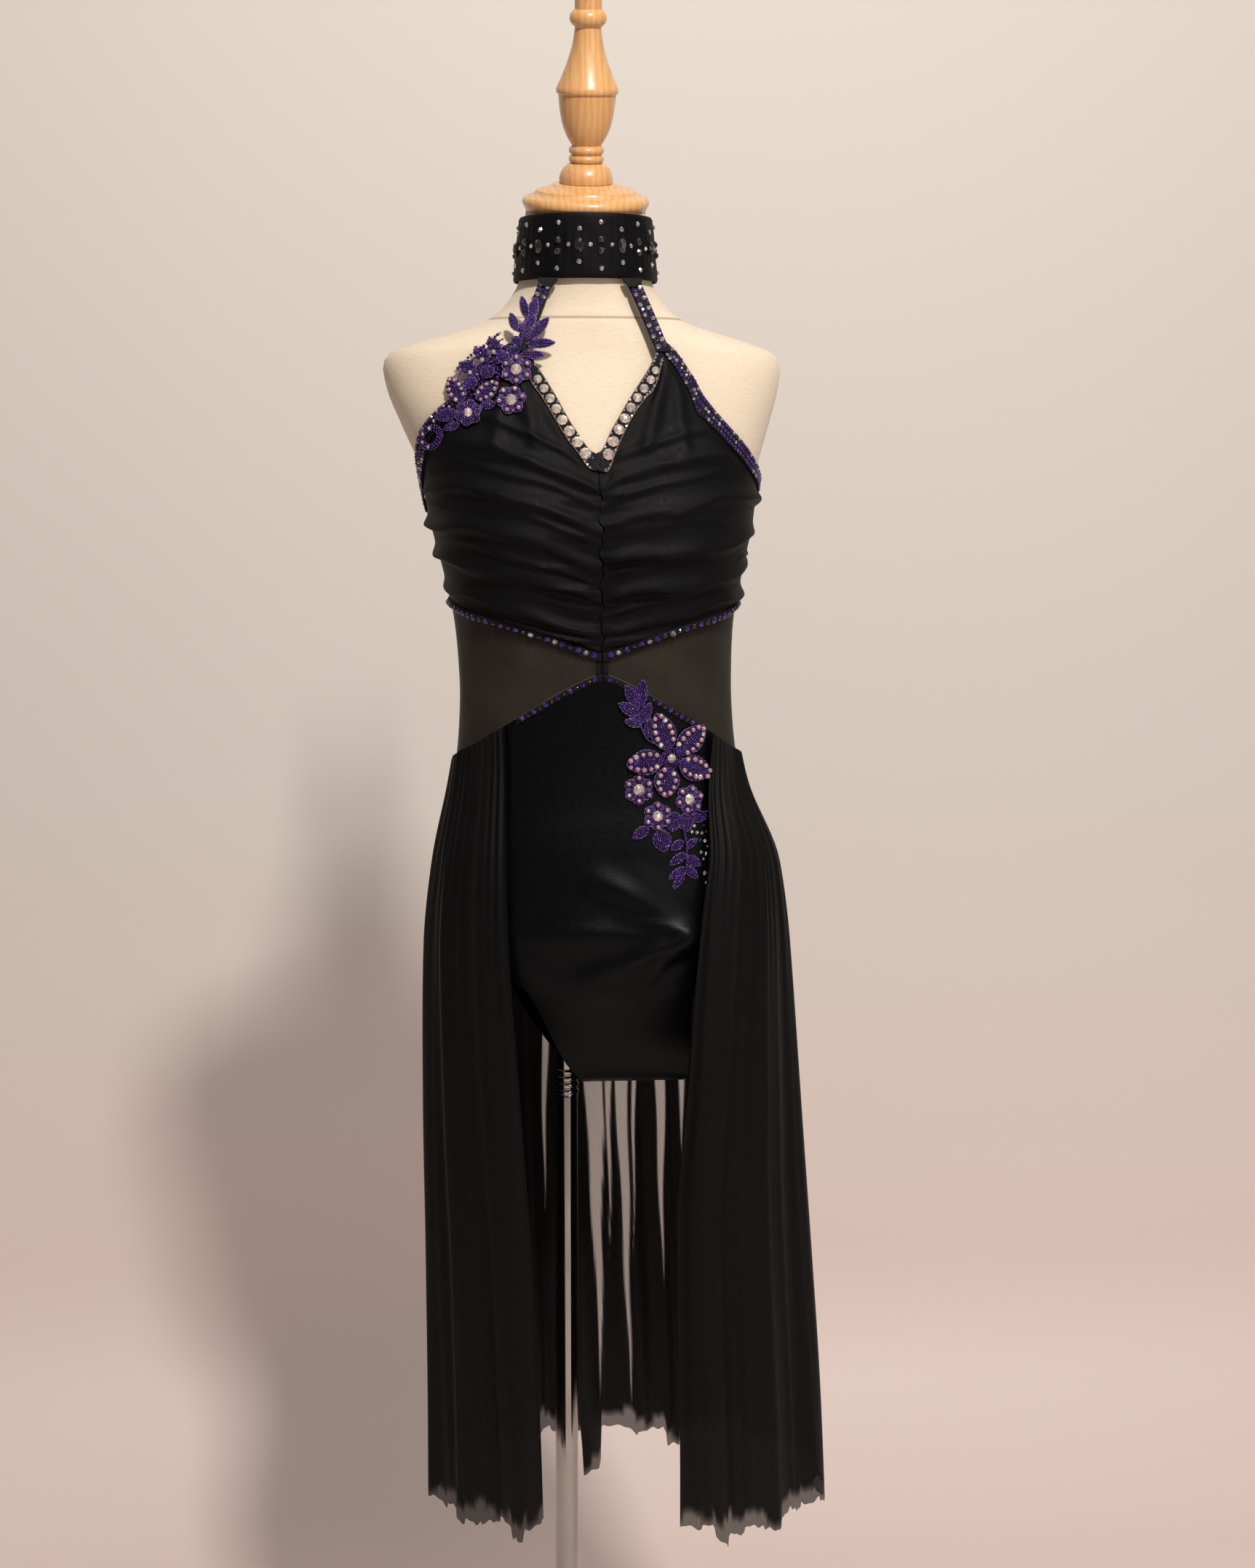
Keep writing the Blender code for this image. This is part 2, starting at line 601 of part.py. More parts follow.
def make_stand(steel, dark_steel):
    """Pole in two tubes joined by a grooved ferrule, a flange under the torso, and a round base."""
    plate = [(0.0, 0.0), (BASE_RADIUS - 0.001, 0.0), (BASE_RADIUS, 0.001)]
    plate += [(BASE_RADIUS, BASE_THICK - 0.002), (BASE_RADIUS - 0.002, BASE_THICK), (0.0, BASE_THICK)]
    lathe("base_plate", plate, dark_steel, BASE_SIDES)
    hole = POLE_RADIUS + GAP
    floor = BASE_THICK + GAP
    hub = [(hole, floor), (HUB_RADIUS, floor), (HUB_RADIUS, 0.014), (0.021, 0.034), (0.0165, HUB_TOP)]
    hub += [(hole, HUB_TOP), (hole, floor)]
    lathe("base_hub", hub, steel, TURNED_SIDES)
    below = FERRULE_BOTTOM - GAP
    tube = [(0.0, floor), (POLE_RADIUS, floor), (POLE_RADIUS, below), (0.0, below)]
    lathe("pole_lower", tube, steel, TURNED_SIDES)
    ferrule = [(0.0, FERRULE_BOTTOM), (FERRULE_RADIUS, FERRULE_BOTTOM)]
    for groove in range(FERRULE_GROOVES):
        ferrule += arc(0.0088, FERRULE_BOTTOM + 0.0040 + GROOVE_PITCH * groove, 0.0028, -55, 55, 2)
    ferrule += [(FERRULE_RADIUS, 0.7515), (FERRULE_RADIUS, FERRULE_TOP - 0.0008), (0.0098, FERRULE_TOP)]
    ferrule += [(0.0, FERRULE_TOP)]
    lathe("pole_ferrule", ferrule, steel, TURNED_SIDES)
    above = FERRULE_TOP + GAP
    tube = [(0.0, above), (UPPER_POLE_RADIUS, above), (UPPER_POLE_RADIUS, FLANGE_BOTTOM - GAP)]
    lathe("pole_upper", tube + [(0.0, FLANGE_BOTTOM - GAP)], steel, TURNED_SIDES)
    top = FORM_BOTTOM - GAP
    flange = [(0.0, FLANGE_BOTTOM), (SOCKET_RADIUS, FLANGE_BOTTOM), (SOCKET_RADIUS, 0.8375)]
    flange += [(FLANGE_RADIUS, 0.8380), (FLANGE_RADIUS, top), (0.0, top)]
    lathe("pole_flange", flange, steel, TURNED_SIDES)


def on_collar(turn, height):
    """A point of the choker's inner face and its outward direction."""
    share = (height - COLLAR_BOTTOM) / (COLLAR_TOP - COLLAR_BOTTOM)
    radius = COLLAR_BOTTOM_RADIUS + share * (COLLAR_TOP_RADIUS - COLLAR_BOTTOM_RADIUS) - COLLAR_WALL
    forward = COLLAR_BOTTOM_FORWARD + share * (COLLAR_TOP_FORWARD - COLLAR_BOTTOM_FORWARD)
    out = Vector((math.sin(math.radians(turn)), -math.cos(math.radians(turn)), 0.0))
    return Vector((NECK_CENTRE, -forward, height)) + out * radius, out


def make_collar(finish):
    """Choker: a stiff band, wider at its foot, whose ends meet at the back under two hook tabs."""
    end = math.degrees(GAP / COLLAR_TOP_RADIUS)
    turns = [end - 180 + (360 - 2 * end) * k / COLLAR_SIDES for k in range(COLLAR_SIDES + 1)]
    middle = (COLLAR_BOTTOM + COLLAR_TOP) / 2
    rows = [[on_collar(turn, height) for turn in turns] for height in (COLLAR_BOTTOM, middle, COLLAR_TOP)]
    wall("collar", rows, finish, thick=COLLAR_WALL)
    for side, word in ((1, "left"), (-1, "right")):
        tab = [180 - side * HOOK_TURNS[1], 180 - side * HOOK_TURNS[0]]
        rows = [[on_collar(turn, middle + up) for turn in tab] for up in (-HOOK_HEIGHT / 2, HOOK_HEIGHT / 2)]
        wall(f"collar_hook_{word}", rows, finish, thick=HOOK_THICK, lift=COLLAR_WALL + GAP)


def ruche(folds, across, up):
    """How far the gathered cloth stands off, at shares across from the seam and up from the edge."""
    rise = 0.0
    for fold in folds:
        centre = fold.at_centre + (fold.at_side - fold.at_centre) * across
        reach = smooth(fold.begins - 0.12, fold.begins + 0.02, across)
        reach *= 1 - smooth(fold.ends - 0.15, fold.ends + 0.08, across)
        wide = fold.width * (0.80 + 0.35 * math.sin(math.pi * min(across, 1.0)))
        rise += fold.rise * reach * math.exp(-(((up - centre) / wide) ** 2))
    return rise * (0.55 + 0.45 * smooth(0.0, 0.10, across))


def trim_drop(turn):
    """How far down the bodice's top trim reaches, measured straight down from the edge."""
    width = NECK_BAND_WIDTH if abs(turn) <= PEAK_TURN else ARM_TRIM_WIDTH
    inner = math.copysign(max(abs(turn) - 1, 0), turn)
    outer = math.copysign(abs(turn) + 1, turn)
    step = on_tube(DRESS, outer, height_of(NECKLINE, outer))
    step -= on_tube(DRESS, inner, height_of(NECKLINE, inner))
    level = math.hypot(step.x, step.y)
    return min(width * step.length / level, MOST_TRIM_DROP * width)


def bodice_rise(turn, height):
    """How far the bodice front stands off at an angle and height: its folds, pressed flat at its edges."""
    folds = FOLDS_LEFT if turn > 0 else FOLDS_RIGHT
    across = (abs(turn) / SIDE_SEAM) ** (1 / COLUMN_BIAS)
    low = height_of(UNDERBUST, turn)
    top = height_of(NECKLINE, turn)
    up = (height - low) / (top - low)
    if not 0 < up < 1:
        return 0.0
    band = 1.5 * trim_drop(turn) / (top - low)
    return ruche(folds, across, up) * smooth(0.0, 0.05, up) * (1 - smooth(1 - band, 1.0, up))


def bodice_rows(side):
    """Half of the bodice front: rows up each column, with rows at the edges of each trim."""
    shares = [j / BODICE_COLUMNS for j in range(BODICE_COLUMNS + 1)]
    turns = [max(SEAM_TURN, SIDE_SEAM * share**COLUMN_BIAS - SEAM_TURN) for share in shares]
    turns[PEAK_COLUMN] = PEAK_TURN
    turns[PEAK_COLUMN - 1] = (turns[PEAK_COLUMN - 2] + PEAK_TURN) / 2
    columns = []
    for turn in [side * turn for turn in turns]:
        low = height_of(UNDERBUST, turn) + GAP
        top = height_of(NECKLINE, turn)
        band = trim_drop(turn)
        heights = [low, low + BUST_TRIM_WIDTH]
        span = top - band - heights[-1]
        heights += [heights[-1] + span * k / RUCHE_ROWS for k in range(1, RUCHE_ROWS + 1)]
        heights += [top - band / 2, top]
        column = []
        for height in heights:
            point, normal = on_dress(turn, height)
            column.append((point + normal * bodice_rise(turn, height), normal))
        columns.append(column)
    if side < 0:
        columns.reverse()
    return [list(row) for row in zip(*columns)]


def parted(rows, column, beside):
    """The rows with one column moved towards the next, so that two bands part there by a gap."""
    made = [list(row) for row in rows]
    for row in made:
        point, normal = row[column]
        row[column] = (point + (row[beside][0] - point).normalized() * 2 * GAP, normal)
    return made


def shortened(rows, column, beside, share):
    """The rows with their end column drawn back towards the next by a share of the way."""
    made = [list(row) for row in rows]
    for row in made:
        point, normal = row[column]
        other, other_normal = row[beside]
        row[column] = (point.lerp(other, share), normal.lerp(other_normal, share).normalized())
    return made


def turns_behind(columns):
    """Angles of the columns of a panel that goes round the back, from side seam to side seam."""
    start = SIDE_SEAM + SEAM_TURN
    return [start + (360 - 2 * start) * j / columns for j in range(columns + 1)]


def band_rows(turns, low_edge, high_edge, shares, low_gap=0.0, high_gap=0.0):
    """Rows of a close panel between two edges of the dress."""
    rows = []
    for share in shares:
        row = []
        for turn in turns:
            low = height_of(low_edge, turn) + low_gap
            high = height_of(high_edge, turn) - high_gap
            row.append(on_dress(turn, low + share * (high - low)))
        rows.append(row)
    return rows


def make_bodice(cloth, trim):
    """Two gathered fronts with their bands, and a plain low back."""
    above = CLOTH + GAP
    for side, word in ((1, "left"), (-1, "right")):
        rows = bodice_rows(side)
        wall(f"bodice_front_{word}", rows, cloth)
        top = rows[-3:]
        if side > 0:
            neck = [row[: PEAK_COLUMN + 1] for row in top]
            arm = parted([row[PEAK_COLUMN:] for row in top], 0, 1)
        else:
            neck = [row[-PEAK_COLUMN - 1 :] for row in top]
            arm = parted([row[:-PEAK_COLUMN] for row in top], -1, -2)
        wall(f"neckline_band_{word}", neck, trim, thick=TRIM, lift=above)
        wall(f"armhole_trim_{word}", arm, trim, thick=TRIM, lift=above)
        wall(f"underbust_trim_{word}", rows[:2], trim, thick=TRIM, lift=above)
    rows = band_rows(turns_behind(BACK_COLUMNS), UNDERBUST, NECKLINE, (0.0, 0.12, 0.5, 0.88, 1.0), GAP)
    wall("bodice_back", rows, cloth)


def front_turn(x, height):
    """Angle at which the dress's tube is at x."""
    section = section_at(DRESS, height)
    share = (x - section.centre) / section.half_width
    return math.copysign(math.degrees(math.asin(min(0.97, abs(share)) ** (section.fullness / 2))), share)


def make_straps(trim):
    """Taut straps from the choker's foot to the bodice's peaks, cut level at both ends."""
    foot = height_of(NECKLINE, PEAK_TURN) + GAP
    top = COLLAR_BOTTOM - STRAP_THICK / 2 - GAP
    for side, word in ((1, "left"), (-1, "right")):
        rows = []
        for step in range(STRAP_ROWS + 1):
            share = step / STRAP_ROWS
            height = foot + share * (top - foot)
            middle = NECK_CENTRE + side * (STRAP_FOOT + share * (STRAP_TOP - STRAP_FOOT))
            xs = [middle + k * STRAP_WIDTH / 2 for k in (-1, 0, 1)]
            rows.append([on_dress(front_turn(x, height), height) for x in xs])
        wall(f"strap_{word}", rows, trim, thick=STRAP_THICK, lift=CLOTH + GAP + TRIM - STRAP_THICK)


def make_midriff(sheer):
    """Sheer panels between the bodice and the brief: one each side of the front, and one behind."""
    shares = (0.0, 0.33, 0.67, 1.0)
    step = 2 * (SIDE_SEAM - SEAM_TURN) / BRIEF_COLUMNS
    turns = [0.4 * step] + [step * k for k in range(1, BRIEF_COLUMNS // 2 + 1)]
    for side, word in ((1, "left"), (-1, "right")):
        rows = band_rows(sorted(side * turn for turn in turns), HIP_SEAM, UNDERBUST, shares, 2 * GAP, GAP)
        wall(f"midriff_{word}", rows, sheer, thick=SHEER_CLOTH)
    rows = band_rows(turns_behind(BACK_COLUMNS), HIP_SEAM, UNDERBUST, shares, 2 * GAP, GAP)
    wall("midriff_back", rows, sheer, thick=SHEER_CLOTH)


def pull_rise(x, height):
    """Rise of the brief's pull folds at a place on its front."""
    rise = 0.0
    for pull in PULLS:
        start = Vector((pull.x_from, pull.z_from))
        run = Vector((pull.x_to, pull.z_to)) - start
        here = Vector((x, height)) - start
        share = here.dot(run) / run.length_squared
        off = (here - run * min(1.0, max(0.0, share))).length
        rise += pull.rise * math.exp(-((off / pull.width) ** 2)) * smooth(-0.35, 0.45, share)
    return rise


def drop_rows(drops, shares):
    """Rows of the brief below the torso, from the crotch seam up."""
    rows = []
    for drop in reversed(drops):
        xs = [drop.middle + u * drop.half for u in shares]
        depths = [drop.depth + drop.bow * u * u for u in shares]
        rows.append([Vector((x, y, drop.height)) for x, y in zip(xs, depths)])
    return rows


def make_brief(cloth, trim):
    """Brief front and back, which meet at the side seams and under the torso, beside the pole."""
    shares = [-1 + 2 * j / BRIEF_COLUMNS for j in range(BRIEF_COLUMNS + 1)]
    rows = drop_rows(FRONT_DROP, shares)
    for leg in reversed(FRONT_LEG):
        rows.append([on_dress(u * leg.turn, leg.height)[0] for u in shares])
    for share in (0.12, 0.26, 0.42, 0.60, 0.80, 1.0):
        row = []
        for u in shares:
            turn = u * (SIDE_SEAM - SEAM_TURN)
            top = height_of(HIP_SEAM, turn) - BRIEF_TRIM_WIDTH
            row.append(on_dress(turn, LEG_TOP + share * (top - LEG_TOP))[0])
        rows.append(row)
    edge = []
    for u in shares:
        turn = u * (SIDE_SEAM - SEAM_TURN)
        edge.append(on_dress(turn, height_of(HIP_SEAM, turn))[0])
    rows.append(edge)
    paired = []
    for row in grid_normals(rows):
        paired.append([(point + normal * pull_rise(point.x, point.z), normal) for point, normal in row])
    wall("brief_front", paired, cloth)
    middle = BRIEF_COLUMNS // 2
    right = [row[middle - TRIM_COLUMNS_RIGHT : middle + 1] for row in paired[-2:]]
    left = parted([row[middle : middle + TRIM_COLUMNS_LEFT + 1] for row in paired[-2:]], 0, 1)
    right = shortened(right, 0, 1, TRIM_SHORT_RIGHT)
    left = shortened(left, -1, -2, TRIM_SHORT_LEFT)
    wall("brief_trim_right", right, trim, thick=TRIM, lift=CLOTH + GAP)
    wall("brief_trim_left", left, trim, thick=TRIM, lift=CLOTH + GAP)

    rows = [list(reversed(row)) for row in drop_rows(BACK_DROP, shares)]
    for leg in reversed(BACK_LEG):
        rows.append([on_dress(180 + u * leg.turn, leg.height)[0] for u in shares])
    for share in (0.33, 0.67, 1.0):
        row = []
        for u in shares:
            turn = 180 + u * (180 - SIDE_SEAM - SEAM_TURN)
            top = height_of(HIP_SEAM, turn)
            row.append(on_dress(turn, LEG_TOP + share * (top - LEG_TOP))[0])
        rows.append(row)
    wall("brief_back", grid_normals(rows), cloth)


def pleat(phase):
    """Profile of one pleat, from 0 in a valley to 1 on its crest, a little sharper outside."""
    return (0.5 - 0.5 * math.cos(math.tau * phase)) ** 1.15


def hem_height(turn):
    """The hem dips and rises a little all round, and hangs lowest at the front of the left panel."""
    waves = 0.004 * math.sin(math.radians(3 * turn + 40)) + 0.003 * math.sin(math.radians(8 * turn))
    return HEM_HEIGHT + waves - HEM_DIP * math.exp(-(((turn - 32) / 30) ** 2))


def skirt_rows(turns_at, pleats):
    """Rows of a skirt panel from the hem up. turns_at(height) gives the angles of its two edges."""
    columns = pleats * PLEAT_STEPS + 1
    top_start, top_end = turns_at(SKIRT_TOP)
    rows = []
    for i in range(SKIRT_ROWS + 1):
        share = (i / SKIRT_ROWS) ** 0.92
        deep = PLEAT_TOP + (PLEAT_HEM - PLEAT_TOP) * (1 - share) ** 0.8
        row = []
        for j in range(columns):
            across = j / (columns - 1)
            top = height_of(HIP_SEAM, top_start + (top_end - top_start) * across)
            start, end = turns_at(HEM_HEIGHT + share * (top - HEM_HEIGHT))
            turn = start + (end - start) * across
            hem = hem_height(turn)
            height = hem + (top - hem) * share
            wander = 0.12 * math.sin(9.0 * across + 2.0 * share) * math.sin(math.pi * across)
            uneven = 0.85 + 0.3 * math.sin(4.0 * math.pi * across + 1.0)
            out = deep * uneven * pleat(across * pleats + wander)
            row.append(on_tube(SKIRT, turn, height) + tube_normal(SKIRT, turn, height) * out)
        rows.append(row)
    return rows


def left_skirt(height):
    return turn_of(SKIRT_EDGE_LEFT, height), SKIRT_SEAM - SEAM_TURN


def right_skirt(height):
    return SEAM_TURN - SKIRT_SEAM, -turn_of(SKIRT_EDGE_RIGHT, height)


def back_skirt(height):
    return SKIRT_SEAM + SEAM_TURN, 360 - SKIRT_SEAM - SEAM_TURN


def make_skirt(sheer):
    """Gathered skirt: open at the front, in two front panels and a back panel."""
    panels = [("left", left_skirt, SIDE_PLEATS), ("right", right_skirt, SIDE_PLEATS)]
    panels.append(("back", back_skirt, BACK_PLEATS))
    for word, turns_at, pleats in panels:
        rows = grid_normals(skirt_rows(turns_at, pleats))
        for row in rows:
            for end in (0, -1):
                point, _ = row[end]
                seam = turns_at(point.z)[end]
                row[end] = (point, tube_normal(SKIRT, seam, point.z))
        wall(f"skirt_{word}", rows, sheer, thick=SHEER_CLOTH)


def on_front(x, height):
    """A point of the front's inner face at x, on its folds too, and its outward direction."""
    turn = front_turn(x, height)
    point, normal = on_dress(turn, height)
    if height > height_of(UNDERBUST, turn):
        rise = bodice_rise(turn, height)
    elif height < height_of(HIP_SEAM, turn):
        rise = pull_rise(x, height)
    else:
        rise = 0.0
    return point + normal * rise, normal


def lace_lift(over):
    return CLOTH + over + LACE_CLEAR


def make_leaf(leaf, finish):
    """A pointed petal or leaf, laid from one place on the front to another."""
    run = Vector((leaf.to_x - leaf.x, leaf.to_z - leaf.z))
    aside = Vector((-run.y, run.x)).normalized()
    rows = []
    for step in range(LEAF_ROWS + 1):
        share = step / LEAF_ROWS
        wide = leaf.half_width * (0.15 + 0.85 * math.sin(math.pi * share) ** 0.8)
        middle = Vector((leaf.x, leaf.z)) + run * share
        rows.append([on_front(*(middle + aside * wide * k)) for k in (-1, 0, 1)])
    wall(f"lace_{leaf.name}", rows, finish, thick=LACE, lift=lace_lift(leaf.over))


def make_frond(frond, finish):
    """A stem with leaves on both sides, or a scalloped piece of lace, along a route."""
    marks = [k / (len(frond.route) - 1) for k in range(len(frond.route))]
    xs = [place[0] for place in frond.route]
    zs = [place[1] for place in frond.route]

    def at(share):
        return Vector((curve_at(marks, xs, share), curve_at(marks, zs, share)))

    rows = []
    count = 4 * frond.leaves
    for step in range(count + 1):
        share = step / count
        along = at(min(1.0, share + 0.02)) - at(max(0.0, share - 0.02))
        aside = Vector((-along.y, along.x)).normalized()
        wide = 0.30 + 0.70 * abs(math.sin(math.pi * frond.leaves * share))
        wide *= smooth(-0.12, 0.18, share) * smooth(-0.12, 0.22, 1 - share)
        middle = at(share)
        rows.append([on_front(*(middle + aside * wide * k)) for k in (-frond.right, 0.0, frond.left)])
    wall(f"lace_{frond.name}", rows, finish, thick=LACE, lift=lace_lift(frond.over))


def make_flower(flower, finish):
    """A flat flower: rings about its middle, or about a hole."""
    count = 4 * flower.petals
    rings = []
    for share in flower.rings:
        ring = []
        for k in range(count):
            turn = math.radians(flower.turned) + math.tau * k / count
            petal = 1 - flower.depth * (0.5 - 0.5 * math.cos(math.tau * flower.petals * k / count))
            reach = flower.radius * share * petal
            ring.append(on_front(flower.x + reach * math.sin(turn), flower.z + reach * math.cos(turn)))
        rings.append(ring)
    centre = None if flower.hole else on_front(flower.x, flower.z)
    lift = lace_lift(flower.over)
    wall(f"lace_{flower.name}", rings, finish, thick=LACE, lift=lift, ring=True, centre=centre)


def make_lace(finish):
    for leaf in LEAVES:
        make_leaf(leaf, finish)
    for frond in FRONDS:
        make_frond(frond, finish)
    for flower in FLOWERS:
        make_flower(flower, finish)


def main():
    for old in list(bpy.data.objects):
        bpy.data.objects.remove(old)
    linen = material("linen", (0.80, 0.72, 0.58), 0.85)
    wood = material("turned_wood", (0.72, 0.46, 0.22), 0.38)
    steel = material("bright_steel", (0.80, 0.79, 0.77), 0.12, 1.0)
    base_steel = material("base_steel", (0.62, 0.62, 0.62), 0.30, 1.0)
    black_cloth = material("black_stretch_cloth", (0.012, 0.012, 0.014), 0.62)
    trim_cloth = material("trim_cloth", (0.020, 0.016, 0.030), 0.50)
    sheer = material("black_stretch_net", (0.018, 0.016, 0.016), 0.70)
    lace = material("purple_lace", (0.20, 0.06, 0.45), 0.55)

    make_torso(linen)
    make_cap(wood)
    make_finial(wood)
    make_stand(steel, base_steel)
    make_collar(black_cloth)
    make_bodice(black_cloth, trim_cloth)
    make_straps(trim_cloth)
    make_midriff(sheer)
    make_brief(black_cloth, trim_cloth)
    make_skirt(sheer)
    make_lace(lace)


main()
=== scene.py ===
"""A black leotard dress with beaded purple lace, on a linen dress form with a wooden cap and a steel pole.

The dress's solids and the form's are the fixed frame. The sections below dress them piece by piece, in
the order in which the object is put together: form, stand, dress, trims, stones and lace.
"""

import math
import random

import bmesh
import bpy
import numpy as np
from mathutils import Matrix, Vector


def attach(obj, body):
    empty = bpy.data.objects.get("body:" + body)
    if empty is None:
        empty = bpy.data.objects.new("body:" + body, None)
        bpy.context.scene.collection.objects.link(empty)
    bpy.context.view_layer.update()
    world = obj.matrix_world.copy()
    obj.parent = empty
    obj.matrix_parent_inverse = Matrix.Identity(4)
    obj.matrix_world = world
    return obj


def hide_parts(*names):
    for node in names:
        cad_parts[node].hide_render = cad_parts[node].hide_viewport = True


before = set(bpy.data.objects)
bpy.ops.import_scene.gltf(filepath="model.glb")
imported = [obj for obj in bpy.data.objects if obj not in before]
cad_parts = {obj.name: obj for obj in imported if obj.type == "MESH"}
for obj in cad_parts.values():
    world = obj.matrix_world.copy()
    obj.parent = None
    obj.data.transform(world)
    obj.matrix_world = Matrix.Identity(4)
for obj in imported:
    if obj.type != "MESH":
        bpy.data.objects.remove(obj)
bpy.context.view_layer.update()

# The room: a plain pale wall and floor, soft studio light from the upper right, and the camera at
# chest height, a little to the left of the form and tipped down.
CAMERA_PLACE = Vector((-0.1621, -2.4954, 1.28))
CAMERA_LOOK = Vector((0.0866, 0.9904, -0.1080))
CAMERA_LENS = 64.2
camera_data = bpy.data.cameras.new("camera")
camera_data.lens = CAMERA_LENS
camera = bpy.data.objects.new("camera", camera_data)
camera.location = CAMERA_PLACE
camera.rotation_euler = CAMERA_LOOK.to_track_quat("-Z", "Y").to_euler()
bpy.context.scene.collection.objects.link(camera)
bpy.context.scene.camera = camera
bpy.context.scene.view_settings.view_transform = "Standard"

bpy.ops.object.select_all(action="DESELECT")
bpy.ops.mesh.primitive_plane_add(size=1.0)
backdrop = bpy.context.object
backdrop.name = "backdrop"
bpy.ops.object.mode_set(mode="EDIT")
bpy.ops.transform.resize(value=(12.0, 6.0, 1.0))
bpy.ops.transform.translate(value=(0.0, -2.0, -0.0005))
bpy.ops.mesh.select_all(action="DESELECT")
bpy.ops.object.mode_set(mode="OBJECT")
for edge in backdrop.data.edges:
    edge.select = all(backdrop.data.vertices[v].co.y > 0.9 for v in edge.vertices)
bpy.ops.object.mode_set(mode="EDIT")
bpy.ops.mesh.select_mode(type="EDGE")
bpy.ops.mesh.extrude_region_move(TRANSFORM_OT_translate={"value": (0.0, 0.0, 4.2)})
bpy.ops.mesh.select_mode(type="VERT")
bpy.ops.object.mode_set(mode="OBJECT")
for edge in backdrop.data.edges:
    ends = [backdrop.data.vertices[v].co for v in edge.vertices]
    edge.select = all(end.y > 0.9 and end.z < 0.1 for end in ends)
bpy.ops.object.mode_set(mode="EDIT")
bpy.ops.mesh.select_mode(type="EDGE")
bpy.ops.mesh.bevel(offset=0.30, segments=12, affect="EDGES")
bpy.ops.mesh.select_all(action="SELECT")
bpy.ops.mesh.normals_make_consistent(inside=False)
bpy.ops.object.mode_set(mode="OBJECT")
floor = min(backdrop.data.polygons, key=lambda face: face.center.z)
if floor.normal.z < 0:
    bpy.ops.object.mode_set(mode="EDIT")
    bpy.ops.mesh.flip_normals()
    bpy.ops.object.mode_set(mode="OBJECT")
bpy.ops.object.shade_smooth()

backdrop_paint = bpy.data.materials.new("backdrop_paint")
backdrop_paint.use_nodes = True
nodes = backdrop_paint.node_tree.nodes
links = backdrop_paint.node_tree.links
paint = nodes["Principled BSDF"]
paint.inputs["Roughness"].default_value = 0.55
place = nodes.new("ShaderNodeTexCoord")
patches = nodes.new("ShaderNodeTexNoise")
patches.inputs["Scale"].default_value = 0.7
patches.inputs["Detail"].default_value = 2.0
tint = nodes.new("ShaderNodeMix")
tint.data_type = "RGBA"
tint.inputs["A"].default_value = (0.680, 0.645, 0.600, 1)
tint.inputs["B"].default_value = (0.730, 0.690, 0.645, 1)
links.new(place.outputs["Object"], patches.inputs["Vector"])
links.new(patches.outputs["Fac"], tint.inputs["Factor"])
# Painted pink light: the wall and the floor are painted faintly pink towards the ground, in place of a low
# pink lamp
heights = nodes.new("ShaderNodeSeparateXYZ")
low = nodes.new("ShaderNodeMapRange")
low.interpolation_type = "SMOOTHSTEP"
for label, number in (("From Min", 0.10), ("From Max", 1.05), ("To Min", 1.0), ("To Max", 0.0)):
    low.inputs[label].default_value = number
painted_pink_light = nodes.new("ShaderNodeMix")
painted_pink_light.data_type = "RGBA"
painted_pink_light.inputs["B"].default_value = (0.810, 0.680, 0.640, 1)
links.new(place.outputs["Object"], heights.inputs["Vector"])
links.new(heights.outputs["Z"], low.inputs["Value"])
links.new(low.outputs["Result"], painted_pink_light.inputs["Factor"])
links.new(tint.outputs["Result"], painted_pink_light.inputs["A"])
links.new(painted_pink_light.outputs["Result"], paint.inputs["Base Color"])
# The backdrop is one-sided, so that it doesn't hide the form in a view from behind
side = nodes.new("ShaderNodeNewGeometry")
front = nodes.new("ShaderNodeMath")
front.operation = "SUBTRACT"
front.inputs[0].default_value = 1.0
links.new(side.outputs["Backfacing"], front.inputs[1])
links.new(front.outputs["Value"], paint.inputs["Alpha"])
backdrop.data.materials.append(backdrop_paint)


def add_lamp(name, place, target, size, power, colour):
    """A soft square lamp that faces a point."""
    data = bpy.data.lights.new(name, "AREA")
    data.size = size
    data.energy = power
    data.color = colour
    lamp = bpy.data.objects.new(name, data)
    lamp.location = place
    lamp.rotation_euler = (Vector(target) - Vector(place)).to_track_quat("-Z", "Y").to_euler()
    bpy.context.scene.collection.objects.link(lamp)


add_lamp("key_lamp", (0.45, -2.05, 3.15), (0.0, 0.0, 1.05), 0.26, 82.0, (1.0, 0.94, 0.87))
add_lamp("fill_lamp", (1.9, -2.4, 1.5), (0.0, 0.0, 0.9), 1.6, 9.0, (1.0, 0.97, 0.95))
add_lamp("top_lamp", (0.2, -0.6, 3.6), (0.0, 0.2, 1.0), 1.6, 12.0, (1.0, 0.96, 0.90))
add_lamp("back_lamp", (-0.9, 2.7, 2.4), (0.0, 0.0, 1.0), 1.2, 16.0, (1.0, 0.96, 0.92))
world = bpy.context.scene.world or bpy.data.worlds.new("room")
bpy.context.scene.world = world
world.use_nodes = True
world.node_tree.nodes["Background"].inputs["Color"].default_value = (0.90, 0.86, 0.83, 1)
world.node_tree.nodes["Background"].inputs["Strength"].default_value = 0.24


